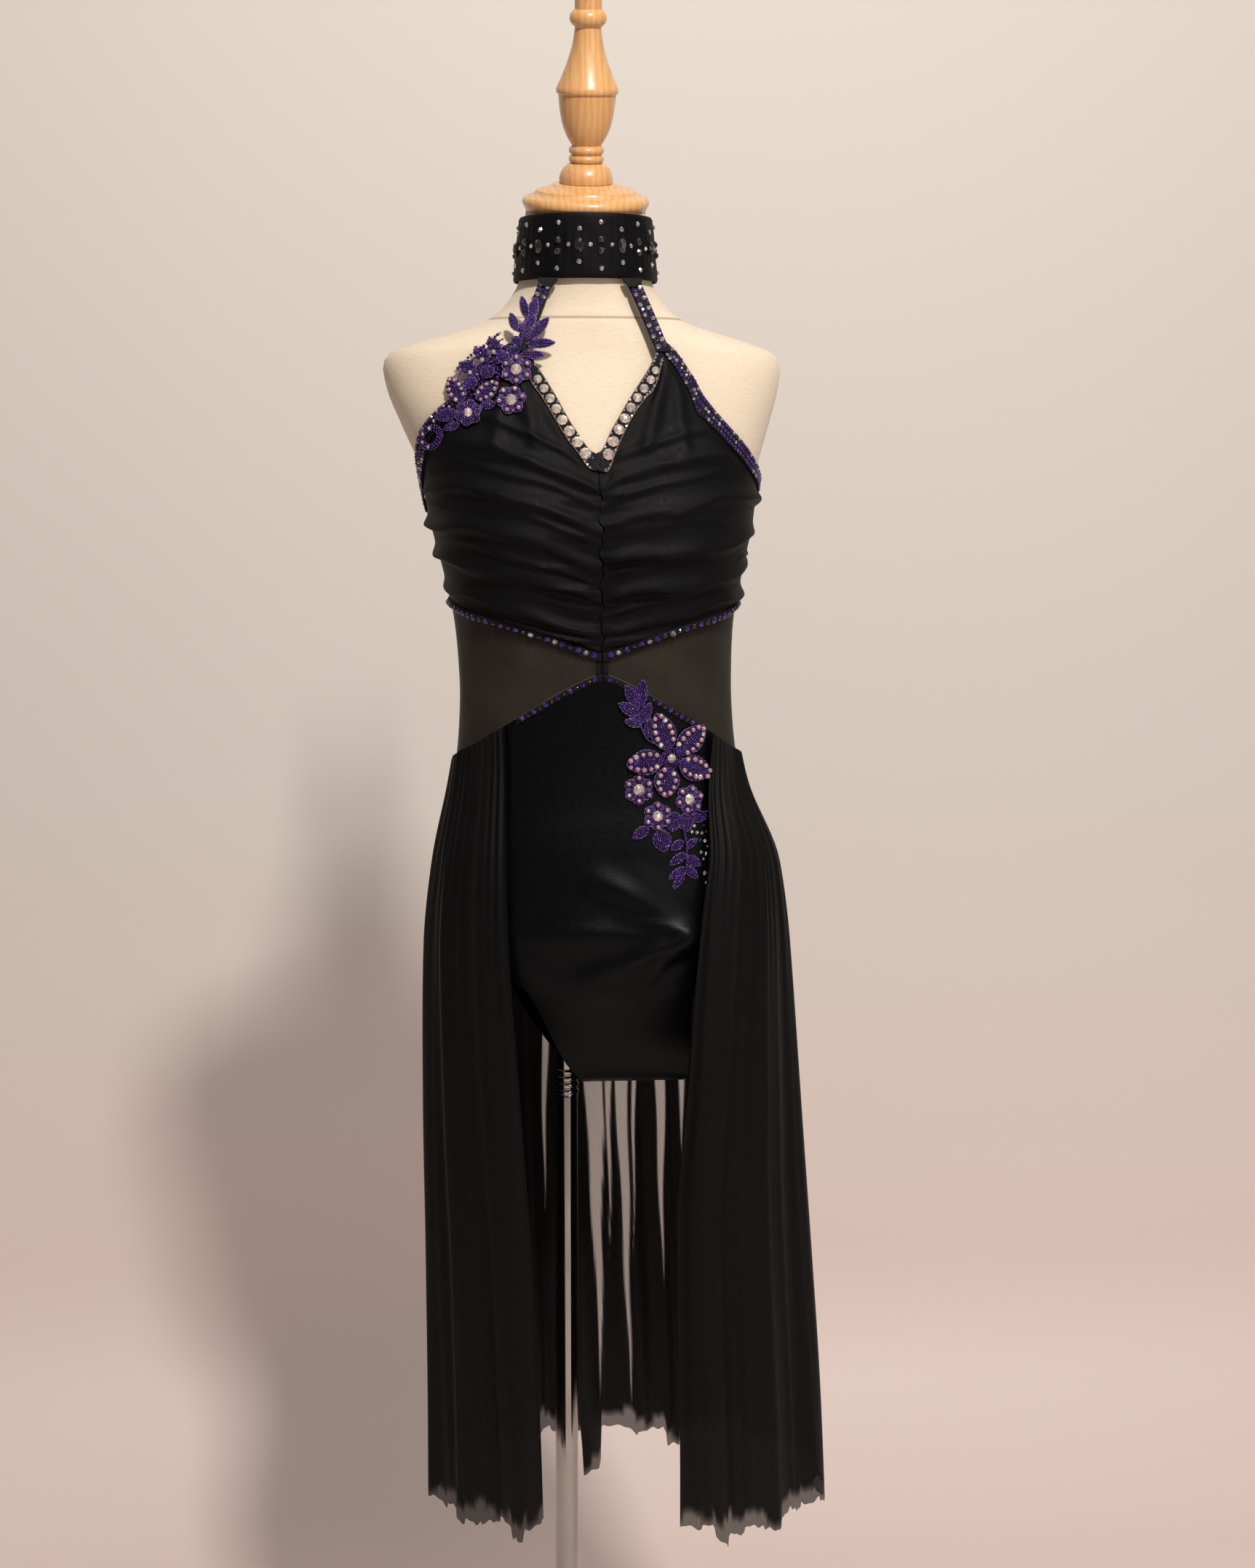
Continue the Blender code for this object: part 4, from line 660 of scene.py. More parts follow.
FOLDS_RIGHT = np.array([
    (1.1350, 1.1600, 1.1780, 0.0028, 0.0044, 0.00, 0.90),
    (1.1480, 1.1740, 1.1900, 0.0058, 0.0080, 0.00, 1.08),
    (1.1640, 1.1890, 1.2020, 0.0024, 0.0042, 0.00, 0.58),
    (1.1760, 1.2050, 1.2160, 0.0060, 0.0084, 0.00, 1.08),
    (1.1930, 1.2220, 1.2310, 0.0028, 0.0044, 0.04, 0.72),
    (1.2070, 1.2370, 1.2420, 0.0062, 0.0088, 0.00, 1.08),
    (1.2250, 1.2560, 1.2560, 0.0024, 0.0044, 0.00, 0.52),
    (1.2380, 1.2700, 1.2660, 0.0056, 0.0090, 0.00, 1.05),
    (1.2570, 1.2930, 1.2780, 0.0026, 0.0046, 0.05, 0.62),
    (1.2700, 1.3100, 1.2930, 0.0050, 0.0090, 0.00, 0.85),
    (1.2880, 1.3350, 1.3080, 0.0026, 0.0052, 0.00, 0.44),
])
# Drapes that hang from the bodice's two peaks: both ends as x and height, rise, half width
DRAPES = [
    (0.0780, 1.3860, 0.0420, 1.3180, 0.0028, 0.0052),
    (0.0830, 1.3820, 0.0640, 1.3080, 0.0034, 0.0066),
    (0.0900, 1.3760, 0.0960, 1.3060, 0.0026, 0.0062),
    (-0.0400, 1.3860, -0.0050, 1.3180, 0.0028, 0.0052),
    (-0.0460, 1.3820, -0.0300, 1.3100, 0.0034, 0.0066),
    (-0.0560, 1.3700, -0.0640, 1.3120, 0.0026, 0.0064),
]
COLUMN_BIAS = 1.15
FINE_CREASES = 44


def ridges(table, x, height):
    """Rise of folds that run between two places on the front and fade towards the first."""
    rise = np.zeros(np.broadcast(x, height).shape)
    for x_from, z_from, x_to, z_to, size, width in table:
        run = np.array([x_to - x_from, z_to - z_from])
        share = ((x - x_from) * run[0] + (height - z_from) * run[1]) / (run @ run)
        near = np.clip(share, 0.0, 1.0)
        off = np.hypot(x - x_from - run[0] * near, height - z_from - run[1] * near)
        rise += size * np.exp(-((off / width) ** 2)) * smooth(-0.35, 0.45, share)
    return rise


def ruche(folds, across, height, seed):
    """How far the gathered cloth stands off: broad folds with a steep underside, and fine creases."""
    rise = np.zeros(np.broadcast(across, height).shape)
    draw = random.Random(seed)
    for at_seam, half_way, at_side, size, wide, begins, ends in folds:
        line = at_seam * (2 * across**2 - 3 * across + 1) + half_way * 4 * (across - across**2)
        line = line + at_side * (2 * across**2 - across)
        line = line + 0.0022 * np.sin(8.0 * across + draw.uniform(0, 6))
        line = line + 0.0012 * np.sin(19.0 * across + draw.uniform(0, 6))
        reach = smooth(begins - 0.10, begins + 0.03, across)
        reach = reach * (1 - smooth(ends - 0.22, ends + 0.06, across))
        swell = 0.62 + 0.38 * np.sin(np.pi * np.minimum(across * draw.uniform(0.9, 1.3), 1.0))
        off = (height - line) / (wide * swell)
        off = np.where(off < 0, off * 1.90, off * 0.90)
        rise += size * reach * np.exp(-(off**2)) * (0.85 + 0.25 * np.sin(5.0 * across + draw.uniform(0, 6)))
    for _ in range(FINE_CREASES):
        middle = draw.uniform(1.135, 1.300)
        start = draw.choice([0.0, 0.0, 0.0, draw.uniform(0.15, 0.7)])
        length, tilt = draw.uniform(0.05, 0.32), draw.uniform(0.0, 0.05)
        size, wide = draw.uniform(0.0007, 0.0019), draw.uniform(0.0014, 0.0028)
        line = middle + tilt * (across - start) + 0.0010 * np.sin(9 * across + draw.uniform(0, 6))
        reach = smooth(start - 0.04, start + 0.03, across)
        reach = reach * (1 - smooth(start + 0.3 * length, start + length, across))
        rise += size * reach * np.exp(-(((height - line) / wide) ** 2))
    return rise * (0.45 + 0.55 * smooth(0.0, 0.08, across))


def bodice_rise(turn, height):
    """How far the gathered fronts stand off. They lie flat where a trim is sewn over them."""
    turn, height = np.broadcast_arrays(np.asarray(turn, float), np.asarray(height, float))
    across = (np.abs(turn) / SIDE_SEAM) ** (1 / COLUMN_BIAS)
    low, top = height_of(UNDERBUST, turn), height_of(NECKLINE, turn)
    press = smooth(0.0, 0.007, height - low) * smooth(0.0, 0.012, top - trim_drop(turn) - height)
    left = ruche(FOLDS_LEFT, across, height, 11)
    right = ruche(FOLDS_RIGHT, across, height, 23)
    draped = ridges(DRAPES, on_tube(DRESS, turn, height)[..., 0], height)
    inside = (height > low) & (height < top)
    return np.where(inside, (np.where(turn > 0, left, right) + draped) * press, 0.0)


def make_sheet(name, inner, normal, thick):
    """A sheet of cloth with two faces and closed edges, from a grid of points and directions."""
    rows, columns = inner.shape[:2]
    uvs = cloth_uvs(inner).reshape(-1, 2)
    if np.ndim(thick):
        thick = np.asarray(thick)[..., None]
    outer = (inner + normal * thick).reshape(-1, 3)
    inner = inner.reshape(-1, 3)
    count = rows * columns
    quads = grid_faces(rows, columns)
    faces = [tuple(q) for q in quads] + [tuple(q[::-1] + count) for q in quads]
    rim = [j for j in range(columns)] + [i * columns + columns - 1 for i in range(1, rows)]
    rim += [(rows - 1) * columns + j for j in range(columns - 2, -1, -1)]
    rim += [i * columns for i in range(rows - 2, 0, -1)]
    for a, b in zip(rim, rim[1:] + rim[:1]):
        faces.append((b, a, a + count, b + count))
    piece = take_mesh(name, np.concatenate([outer, inner]), faces, np.concatenate([uvs, uvs]))
    shade(piece, 60)
    return piece


def cloth_uvs(points):
    """Places on the cloth in metres, from the lengths of the grid's middle row and column."""
    rows, columns = points.shape[:2]
    widths = np.linalg.norm(np.diff(points[rows // 2], axis=0), axis=1)
    lengths = np.linalg.norm(np.diff(points[:, columns // 2], axis=0), axis=1)
    u = np.concatenate([[0.0], np.cumsum(widths)])
    v = np.concatenate([[0.0], np.cumsum(lengths)])
    return np.stack(np.meshgrid(u, v), -1)


def cloth_area(points):
    across = np.diff(points, axis=1)[:-1]
    up = np.diff(points, axis=0)[:, :-1]
    return float(np.linalg.norm(np.cross(across, up), axis=-1).sum())


# Fine knit: ribs lengthwise, loops across, and fuzz, at the size of the threads
knit, given, out = new_group("knit", ["Ribs"], ["Height", "Rib", "Fuzz"])
rib = waves(knit, given["Vector"], given["Ribs"], 0.4).outputs["Fac"]
loop = waves(knit, given["Vector"], sums(knit, "MULTIPLY", given["Ribs"], 1.3), 0.6, "Y").outputs["Fac"]
knit.links.new(sums(knit, "ADD", rib, sums(knit, "MULTIPLY", loop, 0.6)), out["Height"])
knit.links.new(rib, out["Rib"])
knit.links.new(noise(knit, given["Vector"], 260.0, 3.0), out["Fuzz"])


def knitted(name, ribs, tone, colours, gloss, bump, depth=0.0003, rough=(0.5, 0.5)):
    """Knitted cloth whose colour follows its fuzz or its ribs, and its roughness its fuzz."""
    made, tree, shader, place = new_finish(name, rough[0])
    stitch = placed(tree, knit, place["UV"], Ribs=ribs)
    tree.links.new(blended(tree, stitch[tone], *colours), shader["Base Color"])
    if rough[1] > rough[0]:
        tree.links.new(remapped(tree, stitch["Fuzz"], 0.3, 0.7, *rough), shader["Roughness"])
    shader["Specular IOR Level"].default_value = gloss
    bumped(tree, shader, stitch["Height"], bump, depth)
    return made, tree, shader, place, stitch


black = (0.0012, 0.0011, 0.0015), (0.0034, 0.0032, 0.0038)
jersey, tree, shader, *_ = knitted("black_jersey", 190.0, "Fuzz", black, 0.10, 0.25, rough=(0.50, 0.64))
shader["Sheen Weight"].default_value = 0.006

BODICE_COLUMNS, BODICE_ROWS = 110, 130
for side, word in ((1, "left"), (-1, "right")):
    share = np.linspace(0.0, 1.0, BODICE_COLUMNS) ** COLUMN_BIAS
    turns = np.clip(SIDE_SEAM * share, SEAM_TURN, SIDE_SEAM - SEAM_TURN)
    turns[np.argmin(np.abs(turns - PEAK_TURN))] = PEAK_TURN
    turns = np.sort(side * turns)
    up = np.linspace(0.0, 1.0, BODICE_ROWS)[:, None]
    low, top = height_of(UNDERBUST, turns) + GAP, height_of(NECKLINE, turns)
    heights = low + (top - low) * up
    # the gathering puckers the centre seam a little to and fro
    pucker = 0.30 * np.sin(heights * 210) + 0.22 * np.sin(heights * 467 + 1.3)
    pucker = pucker * np.exp(-((turns / 3.0) ** 2))
    pucker = pucker * smooth(0.0, 0.012, heights - low) * smooth(0.030, 0.042, top - heights)
    inner, normal = on_dress(turns + pucker, heights)
    inner = inner + normal * bodice_rise(turns, heights)[..., None]
    piece = make_sheet(f"bodice_{word}", inner, normal, CLOTH * 0.8)
    fit_out(piece, jersey, "black_stretch_cloth", f"bodice_front_{word}")


# Behind the centre seam lies the elastic that gathers it. It runs down past the point to the brief.
ELASTIC = 0.0008
gather_heights = np.linspace(1.1090, 1.2990, 60)[:, None]
inner, normal = on_dress(np.linspace(-1.5, 1.5, 9), gather_heights, EASE - ELASTIC - GAP)
elastic = make_sheet("centre_elastic", inner, normal, ELASTIC)
fit_out(elastic, jersey, "black_stretch_cloth")


def plain_band(name, turns, low_edge, high_edge, rows, thick, low_gap, high_gap, wrinkle=0.0):
    """A close panel between two edges of the dress. Returns the piece and its grid."""
    up = np.linspace(0.0, 1.0, rows)[:, None]
    low = height_of(low_edge, turns) + low_gap
    high = height_of(high_edge, turns) - high_gap
    heights = low + (high - low) * up
    inner, normal = on_dress(turns, heights)
    if wrinkle:
        wave = np.sin(turns * 0.11 + 14 * up) * np.sin(heights * 90 + turns * 0.05)
        press = smooth(0.0, 0.2, up) * smooth(0.0, 0.2, 1 - up)
        inner = inner + normal * (wrinkle * (0.5 + 0.5 * wave) * press)[..., None]
    piece = make_sheet(name, inner, normal, thick)
    return piece, inner


BACK_TURNS = np.linspace(SIDE_SEAM + SEAM_TURN, 360 - SIDE_SEAM - SEAM_TURN, 90)
piece, grid = plain_band(
    "bodice_low_back", BACK_TURNS, UNDERBUST, NECKLINE, 26, CLOTH * 0.9, GAP, 0.0, 0.0005
)
fit_out(piece, jersey, "black_stretch_cloth", "bodice_back")


# Dress, midriff: stretch power mesh, sheer enough for the form's linen to show through brown, with
# fine lengthwise ribs. It is drawn tight between the underbust seam and the brief's top edge.
brown = (0.0070, 0.0055, 0.0040), (0.0190, 0.0150, 0.0115)
power_mesh, tree, shader, place, stitch = knitted(
    "sheer_power_mesh", 290.0, "Rib", brown, 0.14, 0.2, rough=(0.55, 0.55)
)
cover = remapped(tree, stitch["Rib"], 0.0, 1.0, 0.56, 0.66)
uneven = remapped(tree, noise(tree, place["UV"], 22.0, 2.0), 0.3, 0.7, -0.03, 0.03)
tree.links.new(sums(tree, "ADD", cover, uneven), shader["Alpha"])
MESH = 0.0005
MIDRIFF = [
    ("midriff_mesh_left", "midriff_left", np.linspace(SEAM_TURN * 2, SIDE_SEAM - SEAM_TURN, 60)),
    ("midriff_mesh_right", "midriff_right", np.linspace(SEAM_TURN - SIDE_SEAM, -SEAM_TURN * 2, 60)),
    ("midriff_mesh_back", "midriff_back", BACK_TURNS),
]
for name, node, turns in MIDRIFF:
    piece, grid = plain_band(name, turns, HIP_SEAM, UNDERBUST, 20, MESH, 2 * GAP, GAP)
    fit_out(piece, power_mesh, "black_stretch_net", node)


# Dress, brief: blue-black spandex with a satin sheen, a front and a back joined at the sides and
# under the form. The unfilled lower end pulls into soft folds towards the wearer's left hip.
LEG_TOP = 0.935
SEAM = 0.0002
FRONT_DROP = [
    (0.836, 0.0335, 0.0740, -0.0945, 0.0120), (0.815, 0.0390, 0.0670, -0.0835, 0.0100),
    (0.787, 0.0460, 0.0610, -0.0660, 0.0070), (0.761, 0.0530, 0.0550, -0.0420, 0.0040),
    (0.744, 0.0590, 0.0490, -0.0200, 0.0015), (0.7370, 0.0610, 0.0465, -SEAM, 0.0),
]
BACK_DROP = [
    (0.834, 0.0335, 0.0960, 0.1080, -0.0200), (0.810, 0.0390, 0.0840, 0.0910, -0.0180),
    (0.781, 0.0460, 0.0720, 0.0690, -0.0110), (0.757, 0.0530, 0.0600, 0.0440, -0.0050),
    (0.742, 0.0590, 0.0500, 0.0210, -0.0015), (0.7370, 0.0610, 0.0465, SEAM, 0.0),
]
FRONT_LEG = [
    (SIDE_SEAM - SEAM_TURN, LEG_TOP), (86.0, 0.9230), (72.0, 0.9120),
    (59.0, 0.9000), (50.0, 0.8800), (38.0, 0.8500),
]
BACK_LEG = [(180 - SIDE_SEAM - SEAM_TURN, LEG_TOP), (69.0, 0.9150), (58.0, 0.8900), (43.0, 0.8540)]
# Pull folds: both ends as x and height, rise, half width. Three broad ones, and fine ones over them.
PULLS = [
    (0.020, 0.936, 0.100, 0.895, 0.0064, 0.012),
    (-0.020, 0.888, 0.097, 0.886, 0.0076, 0.014),
    (0.010, 0.848, 0.094, 0.879, 0.0070, 0.011),
    (0.040, 0.905, 0.098, 0.889, 0.0022, 0.005),
    (0.048, 0.866, 0.092, 0.881, 0.0026, 0.005),
    (0.060, 0.840, 0.088, 0.872, 0.0024, 0.006),
    (-0.030, 0.912, 0.040, 0.905, 0.0016, 0.010),
    (-0.020, 0.842, 0.050, 0.836, 0.0018, 0.010),
    (0.055, 0.945, 0.103, 0.905, 0.0020, 0.007),
]


def fine_rows(rows, count):
    """More rows through the given ones, spaced by their length, on a smooth curve for each column."""
    rows = np.asarray(rows)
    steps = np.linalg.norm(np.diff(rows[:, rows.shape[1] // 2], axis=0), axis=-1)
    marks = np.concatenate([[0.0], np.cumsum(steps)])
    reads = np.linspace(0.0, marks[-1], count)
    made = np.empty((count, rows.shape[1], 3))
    for j in range(rows.shape[1]):
        for k in range(3):
            made[:, j, k] = curve_at(marks, rows[:, j, k], reads)
    return made


def grid_normals(points):
    across = np.empty_like(points)
    across[:, 1:-1] = points[:, 2:] - points[:, :-2]
    across[:, 0], across[:, -1] = points[:, 1] - points[:, 0], points[:, -1] - points[:, -2]
    up = np.empty_like(points)
    up[1:-1] = points[2:] - points[:-2]
    up[0], up[-1] = points[1] - points[0], points[-1] - points[-2]
    return unit(np.cross(across, up))


BRIEF_COLUMNS, BRIEF_ROWS = 97, 120
spread = np.linspace(-1.0, 1.0, BRIEF_COLUMNS)


def brief_grid(drops, legs, middle_turn, half_turn, behind):
    """Rows of the brief: below the form, then past the leg openings, then up to the hip seam."""
    rows = []
    for height, middle, half, depth, bow in reversed(drops):
        xs = middle + (-spread if behind else spread) * half
        rows.append(np.stack([xs, depth + bow * spread**2, np.full(len(spread), height)], -1))
    for leg_turn, height in reversed(legs):
        rows.append(on_dress(middle_turn + spread * leg_turn, np.full(len(spread), height))[0])
    turn = middle_turn + spread * half_turn
    top = height_of(HIP_SEAM, turn)
    for share in np.linspace(0.14, 1.0, 9):
        rows.append(on_dress(turn, LEG_TOP + share * (top - LEG_TOP))[0])
    return fine_rows(rows, BRIEF_ROWS)


ink = (0.0005, 0.0006, 0.0012), (0.0014, 0.0015, 0.0026)
spandex, *_ = knitted("satin_spandex", 260.0, "Fuzz", ink, 0.12, 0.12, 0.0002, (0.34, 0.44))
front_grid = brief_grid(FRONT_DROP, FRONT_LEG, 0.0, SIDE_SEAM - SEAM_TURN, False)
back_grid = brief_grid(BACK_DROP, BACK_LEG, 180.0, 180 - SIDE_SEAM - SEAM_TURN, True)
front_normal, back_normal = grid_normals(front_grid), grid_normals(back_grid)
pulled = ridges(PULLS, front_grid[..., 0], front_grid[..., 2])
front_grid = front_grid + front_normal * pulled[..., None]
for name, node, grid, normal in (
    ("brief_front_panel", "brief_front", front_grid, front_normal),
    ("brief_back_panel", "brief_back", back_grid, back_normal),
):
    piece = make_sheet(name, grid, normal, CLOTH * 0.8)
    fit_out(piece, spandex, "black_stretch_cloth", node)


# Dress, skirt: three panels of translucent stretch net, gathered into the hip seam and open at the
# front. Gathers run down from the seam and join into broad folds. The hem is a raw cut edge.
SKIRT = np.array([
    (0.332, 0.0555, 0.0, 0.1720, 0.1170, 0.1380, 2.35),
    (0.446, 0.0525, 0.0, 0.1700, 0.1160, 0.1360, 2.35),
    (0.587, 0.0465, 0.0, 0.1670, 0.1150, 0.1330, 2.35),
    (0.727, 0.0405, 0.0, 0.1640, 0.1130, 0.1290, 2.35),
    (0.868, 0.0365, 0.0, 0.1595, 0.1110, 0.1210, 2.35),
    (0.938, 0.0355, 0.0, 0.1520, 0.1070, 0.1190, 2.35),
    (1.009, 0.0290, 0.0, 0.1320, 0.0932, 0.1012, 2.35),
    (1.034, 0.0283, 0.0, 0.1280, 0.0893, 0.0940, 2.35),
    (1.080, 0.0276, 0.0, 0.1240, 0.0870, 0.0870, 2.35),
])
HEM_HEIGHT, HEM_DIP, SKIRT_SEAM, SKIRT_TOP = 0.362, 0.014, 125.0, 1.070
EDGE_LEFT = np.array([
    (9.5, 0.340), (12.5, 0.620), (18.0, 0.740), (26.0, 0.895), (43.0, 1.010), (50.5, 1.060),
])
EDGE_RIGHT = np.array([
    (25.0, 0.355), (26.0, 0.587), (28.0, 0.711), (32.0, 0.865), (37.0, 1.000), (40.5, 1.070),
])
# Tags of net that hang below the hem: middle and half width in degrees, length
HEM_TAGS = [(185.0, 3.0, 0.046), (164.0, 2.6, 0.018), (-33.0, 2.4, 0.012), (21.0, 2.6, 0.010)]


def hem_height(turn, draw):
    """The hem dips and rises all round, lowest at the front of the left panel, and its cut is uneven."""
    turn = np.asarray(turn, float)
    waves = 0.004 * np.sin(np.radians(3 * turn + 40)) + 0.003 * np.sin(np.radians(8 * turn))
    ragged = np.zeros(len(turn))
    for frequency, size in ((0.35, 0.0024), (0.9, 0.0016), (2.1, 0.0008)):
        ragged += size * np.sin(frequency * turn + draw.uniform(0, 6.28))
    steps = 0.0018 * np.sign(np.sin(0.42 * turn + draw.uniform(0, 6.28)))
    dip = np.exp(-(((turn - 32) / 30) ** 2))
    hem = HEM_HEIGHT + waves + ragged + steps - HEM_DIP * dip
    for middle, half, drop in HEM_TAGS:
        hem = hem - drop * (1 - smooth(half * 0.75, half, np.abs(turn - middle)))
    return hem


def skirt_grid(turns_at, gathers, broad, columns, rows, seed):
    """A panel's grid from the hem up. Fine gathers fade downwards, broad folds grow."""
    draw = random.Random(seed)
    across = np.linspace(0.0, 1.0, columns)
    top_turns = turns_at(SKIRT_TOP)
    top = height_of(HIP_SEAM, top_turns[0] + (top_turns[1] - top_turns[0]) * across)
    bottom = turns_at(HEM_HEIGHT)
    hem = hem_height(bottom[0] + (bottom[1] - bottom[0]) * across, draw)
    fine_phase = gathers * across + 0.35 * np.sin(9 * across + draw.uniform(0, 6))
    fine_phase = fine_phase + 0.22 * np.sin(23 * across + draw.uniform(0, 6))
    fine_size = 0.55 + 0.45 * np.sin(5 * across * math.pi + draw.uniform(0, 6))
    sway = 0.16 * np.sin(2 * math.pi * across + draw.uniform(0, 6)) * np.sin(math.pi * across)
    broad_phase = broad * across + sway
    mid_phase = 2.2 * broad * across + 0.30 * np.sin(5 * across + draw.uniform(0, 6))
    ends = smooth(0.0, 0.03, across) * smooth(0.0, 0.03, 1 - across)
    grid, normals = [], []
    for share in np.linspace(0.0, 1.0, rows) ** 0.95:
        height = hem + (top - hem) * share
        starts, ends_at = turns_at(HEM_HEIGHT + share * (float(top.mean()) - HEM_HEIGHT))
        turn = starts + (ends_at - starts) * across
        down = 1 - share
        fine = 0.0019 * (0.5 - 0.5 * np.cos(2 * np.pi * fine_phase)) ** 1.4 * fine_size
        fine = fine * (smooth(0.62, 0.97, share) + 0.05)
        lean = 0.10 * np.sin(3.0 * share + 2 * np.pi * across)
        wide = (0.5 - 0.5 * np.cos(2 * np.pi * (broad_phase + lean))) ** 1.25
        mid = (0.5 - 0.5 * np.cos(2 * np.pi * (mid_phase + 0.06 * np.sin(4 * share)))) ** 1.5
        size = 0.0008 + 0.0112 * down**0.62
        uneven = 0.80 + 0.35 * np.sin(4.0 * np.pi * across + 1.0)
        out = 0.0003 + (size * uneven * wide + 0.22 * size * mid) * ends + fine
        normal = tube_normal(SKIRT, turn, height)
        grid.append(on_tube(SKIRT, turn, height) + normal * out[:, None])
        normals.append(normal)
    return np.array(grid), np.array(normals)


soot = (0.0010, 0.0009, 0.0010), (0.0034, 0.0030, 0.0031)
net, tree, shader, place, stitch = knitted("black_skirt_net", 260.0, "Fuzz", soot, 0.14, 0.2)
# One layer of the net lets light through, several folded together don't: "sheer" says where it is single
sheer = tree.nodes.new("ShaderNodeAttribute")
sheer.attribute_name = "sheer"
layered = remapped(tree, stitch["Rib"], 0.0, 1.0, 0.90, 0.99)
single = remapped(tree, stitch["Rib"], 0.0, 1.0, 0.24, 0.40)
thinner = sums(tree, "MULTIPLY", sums(tree, "SUBTRACT", single, layered), sheer.outputs["Fac"])
tree.links.new(sums(tree, "ADD", layered, thinner), shader["Alpha"])
# Gaps between the back panel's folds: left and right edge under the brief, and the point below, x and z
WEDGES = [
    (-0.0145, -0.0089, -0.0122, 0.5803),
    (0.0259, 0.0447, 0.0444, 0.3913),
    (0.0461, 0.0524, 0.0516, 0.5264),
    (0.0552, 0.0678, 0.0728, 0.3715),
    (0.0713, 0.0762, 0.0735, 0.5352),
    (0.0930, 0.1028, 0.1031, 0.5013),
    (0.1148, 0.1211, 0.1199, 0.6345),
]
WEDGE_TOP = 0.708


def sheer_share(grid, behind):
    """Where the net lies single: its raw hem, its open edges, and wedges between the back's folds."""
    x, z = grid[..., 0], grid[..., 2]
    rise = z - z[0]
    tag = 0.5 + 0.5 * np.sin(x * 61) * np.sin(x * 143 + 1)
    reach = 0.004 + 0.016 * tag
    thin = 0.62 * (1 - smooth(reach, reach + 0.003, rise))
    if behind:
        for left, right, point_x, point_z in WEDGES:
            share = np.clip((z - point_z) / (WEDGE_TOP - point_z), 0.0, 1.2)
            middle = point_x + ((left + right) / 2 - point_x) * share
            half = (right - left) / 2 * share
            wave = 0.0008 * np.sin(z * 40 + point_x * 300)
            open_here = 1 - smooth(half - 0.0010, half + 0.0008, np.abs(x - middle - wave))
            thin = np.maximum(thin, open_here * (share > 0) * 0.95)
    return thin


def left_turns(height):
    return float(curve_at(EDGE_LEFT[:, 1], EDGE_LEFT[:, 0], [height])[0]), SKIRT_SEAM - SEAM_TURN


def right_turns(height):
    return SEAM_TURN - SKIRT_SEAM, -float(curve_at(EDGE_RIGHT[:, 1], EDGE_RIGHT[:, 0], [height])[0])


def back_turns(height):
    return SKIRT_SEAM + SEAM_TURN, 360 - SKIRT_SEAM - SEAM_TURN


NET, SKIRT_ROWS = 0.0006, 90
SKIRTS = [
    ("skirt_panel_left", "skirt_left", left_turns, 26, 5, 260, 71),
    ("skirt_panel_right", "skirt_right", right_turns, 24, 5, 240, 53),
    ("skirt_panel_back", "skirt_back", back_turns, 40, 9, 280, 97),
]
for name, node, turns_at, gathers, broad, columns, seed in SKIRTS:
    grid, normal = skirt_grid(turns_at, gathers, broad, columns, SKIRT_ROWS, seed)
    piece = make_sheet(name, grid, normal, NET)
    fit_out(piece, net, "black_stretch_net", node)
    thin = sheer_share(grid, node == "skirt_back").ravel()
    layer = piece.data.attributes.new("sheer", "FLOAT", "POINT")
    layer.data.foreach_set("value", np.concatenate([thin, thin]).astype(np.float32))


# Trims: flat tapes of black stretch cloth sewn over the edges of the bodice and of the brief. They
# carry the stones. The neckline's tape is edged with a fine tan cord on both sides.
TRIM = 0.0015
ON_CLOTH = CLOTH + GAP

plum_black = (0.0035, 0.0030, 0.0045), (0.0090, 0.0075, 0.0120)
tape_cloth, *_ = knitted("tape_cloth", 240.0, "Fuzz", plum_black, 0.12, 0.3, rough=(0.52, 0.70))


def band_at(turn, share, kind):
    """Heights across a trim, from 0 at its lower edge to 1 at its upper edge."""
    if kind == "top":
        return height_of(NECKLINE, turn) - trim_drop(turn) * (1 - share)
    if kind == "bust":
        return height_of(UNDERBUST, turn) + GAP + BUST_TRIM * share
    return height_of(HIP_SEAM, turn) - BRIEF_TRIM * (1 - share)


def on_trimmed(turn, height, lift):
    """Points above the dress's cloth, on its folds, and their outward directions."""
    point, normal = on_dress(turn, height)
    pulled = ridges(PULLS, point[..., 0], height)
    rise = np.where(height > height_of(UNDERBUST, turn), bodice_rise(turn, height), pulled)
    return point + normal * (rise + lift)[..., None], normal


TAPES = [
    ("neckline_tape_left", "neckline_band_left", "top", 0.15, 17.4, 40),
    ("neckline_tape_right", "neckline_band_right", "top", -17.4, -0.15, 40),
    ("armhole_tape_left", "armhole_trim_left", "top", 17.7, 99.8, 90),
    ("armhole_tape_right", "armhole_trim_right", "top", -99.8, -17.7, 90),
    ("underbust_tape_left", "underbust_trim_left", "bust", 0.15, 99.8, 90),
    ("underbust_tape_right", "underbust_trim_right", "bust", -99.8, -0.15, 90),
    ("brief_tape_left", "brief_trim_left", "brief", 0.20, 43.0, 50),
    ("brief_tape_right", "brief_trim_right", "brief", -34.0, -0.05, 50),
]
for name, node, kind, start, end, columns in TAPES:
    turn = np.linspace(start, end, columns)
    share = np.linspace(0.0, 1.0, 6)[:, None]
    inner, normal = on_trimmed(turn, band_at(turn, share, kind), ON_CLOTH)
    crown = 0.55 + 0.45 * np.sin(np.pi * share) ** 0.5
    piece = make_sheet(name, inner, normal, TRIM * 0.8 * crown)
    fit_out(piece, tape_cloth, "trim_cloth", node)


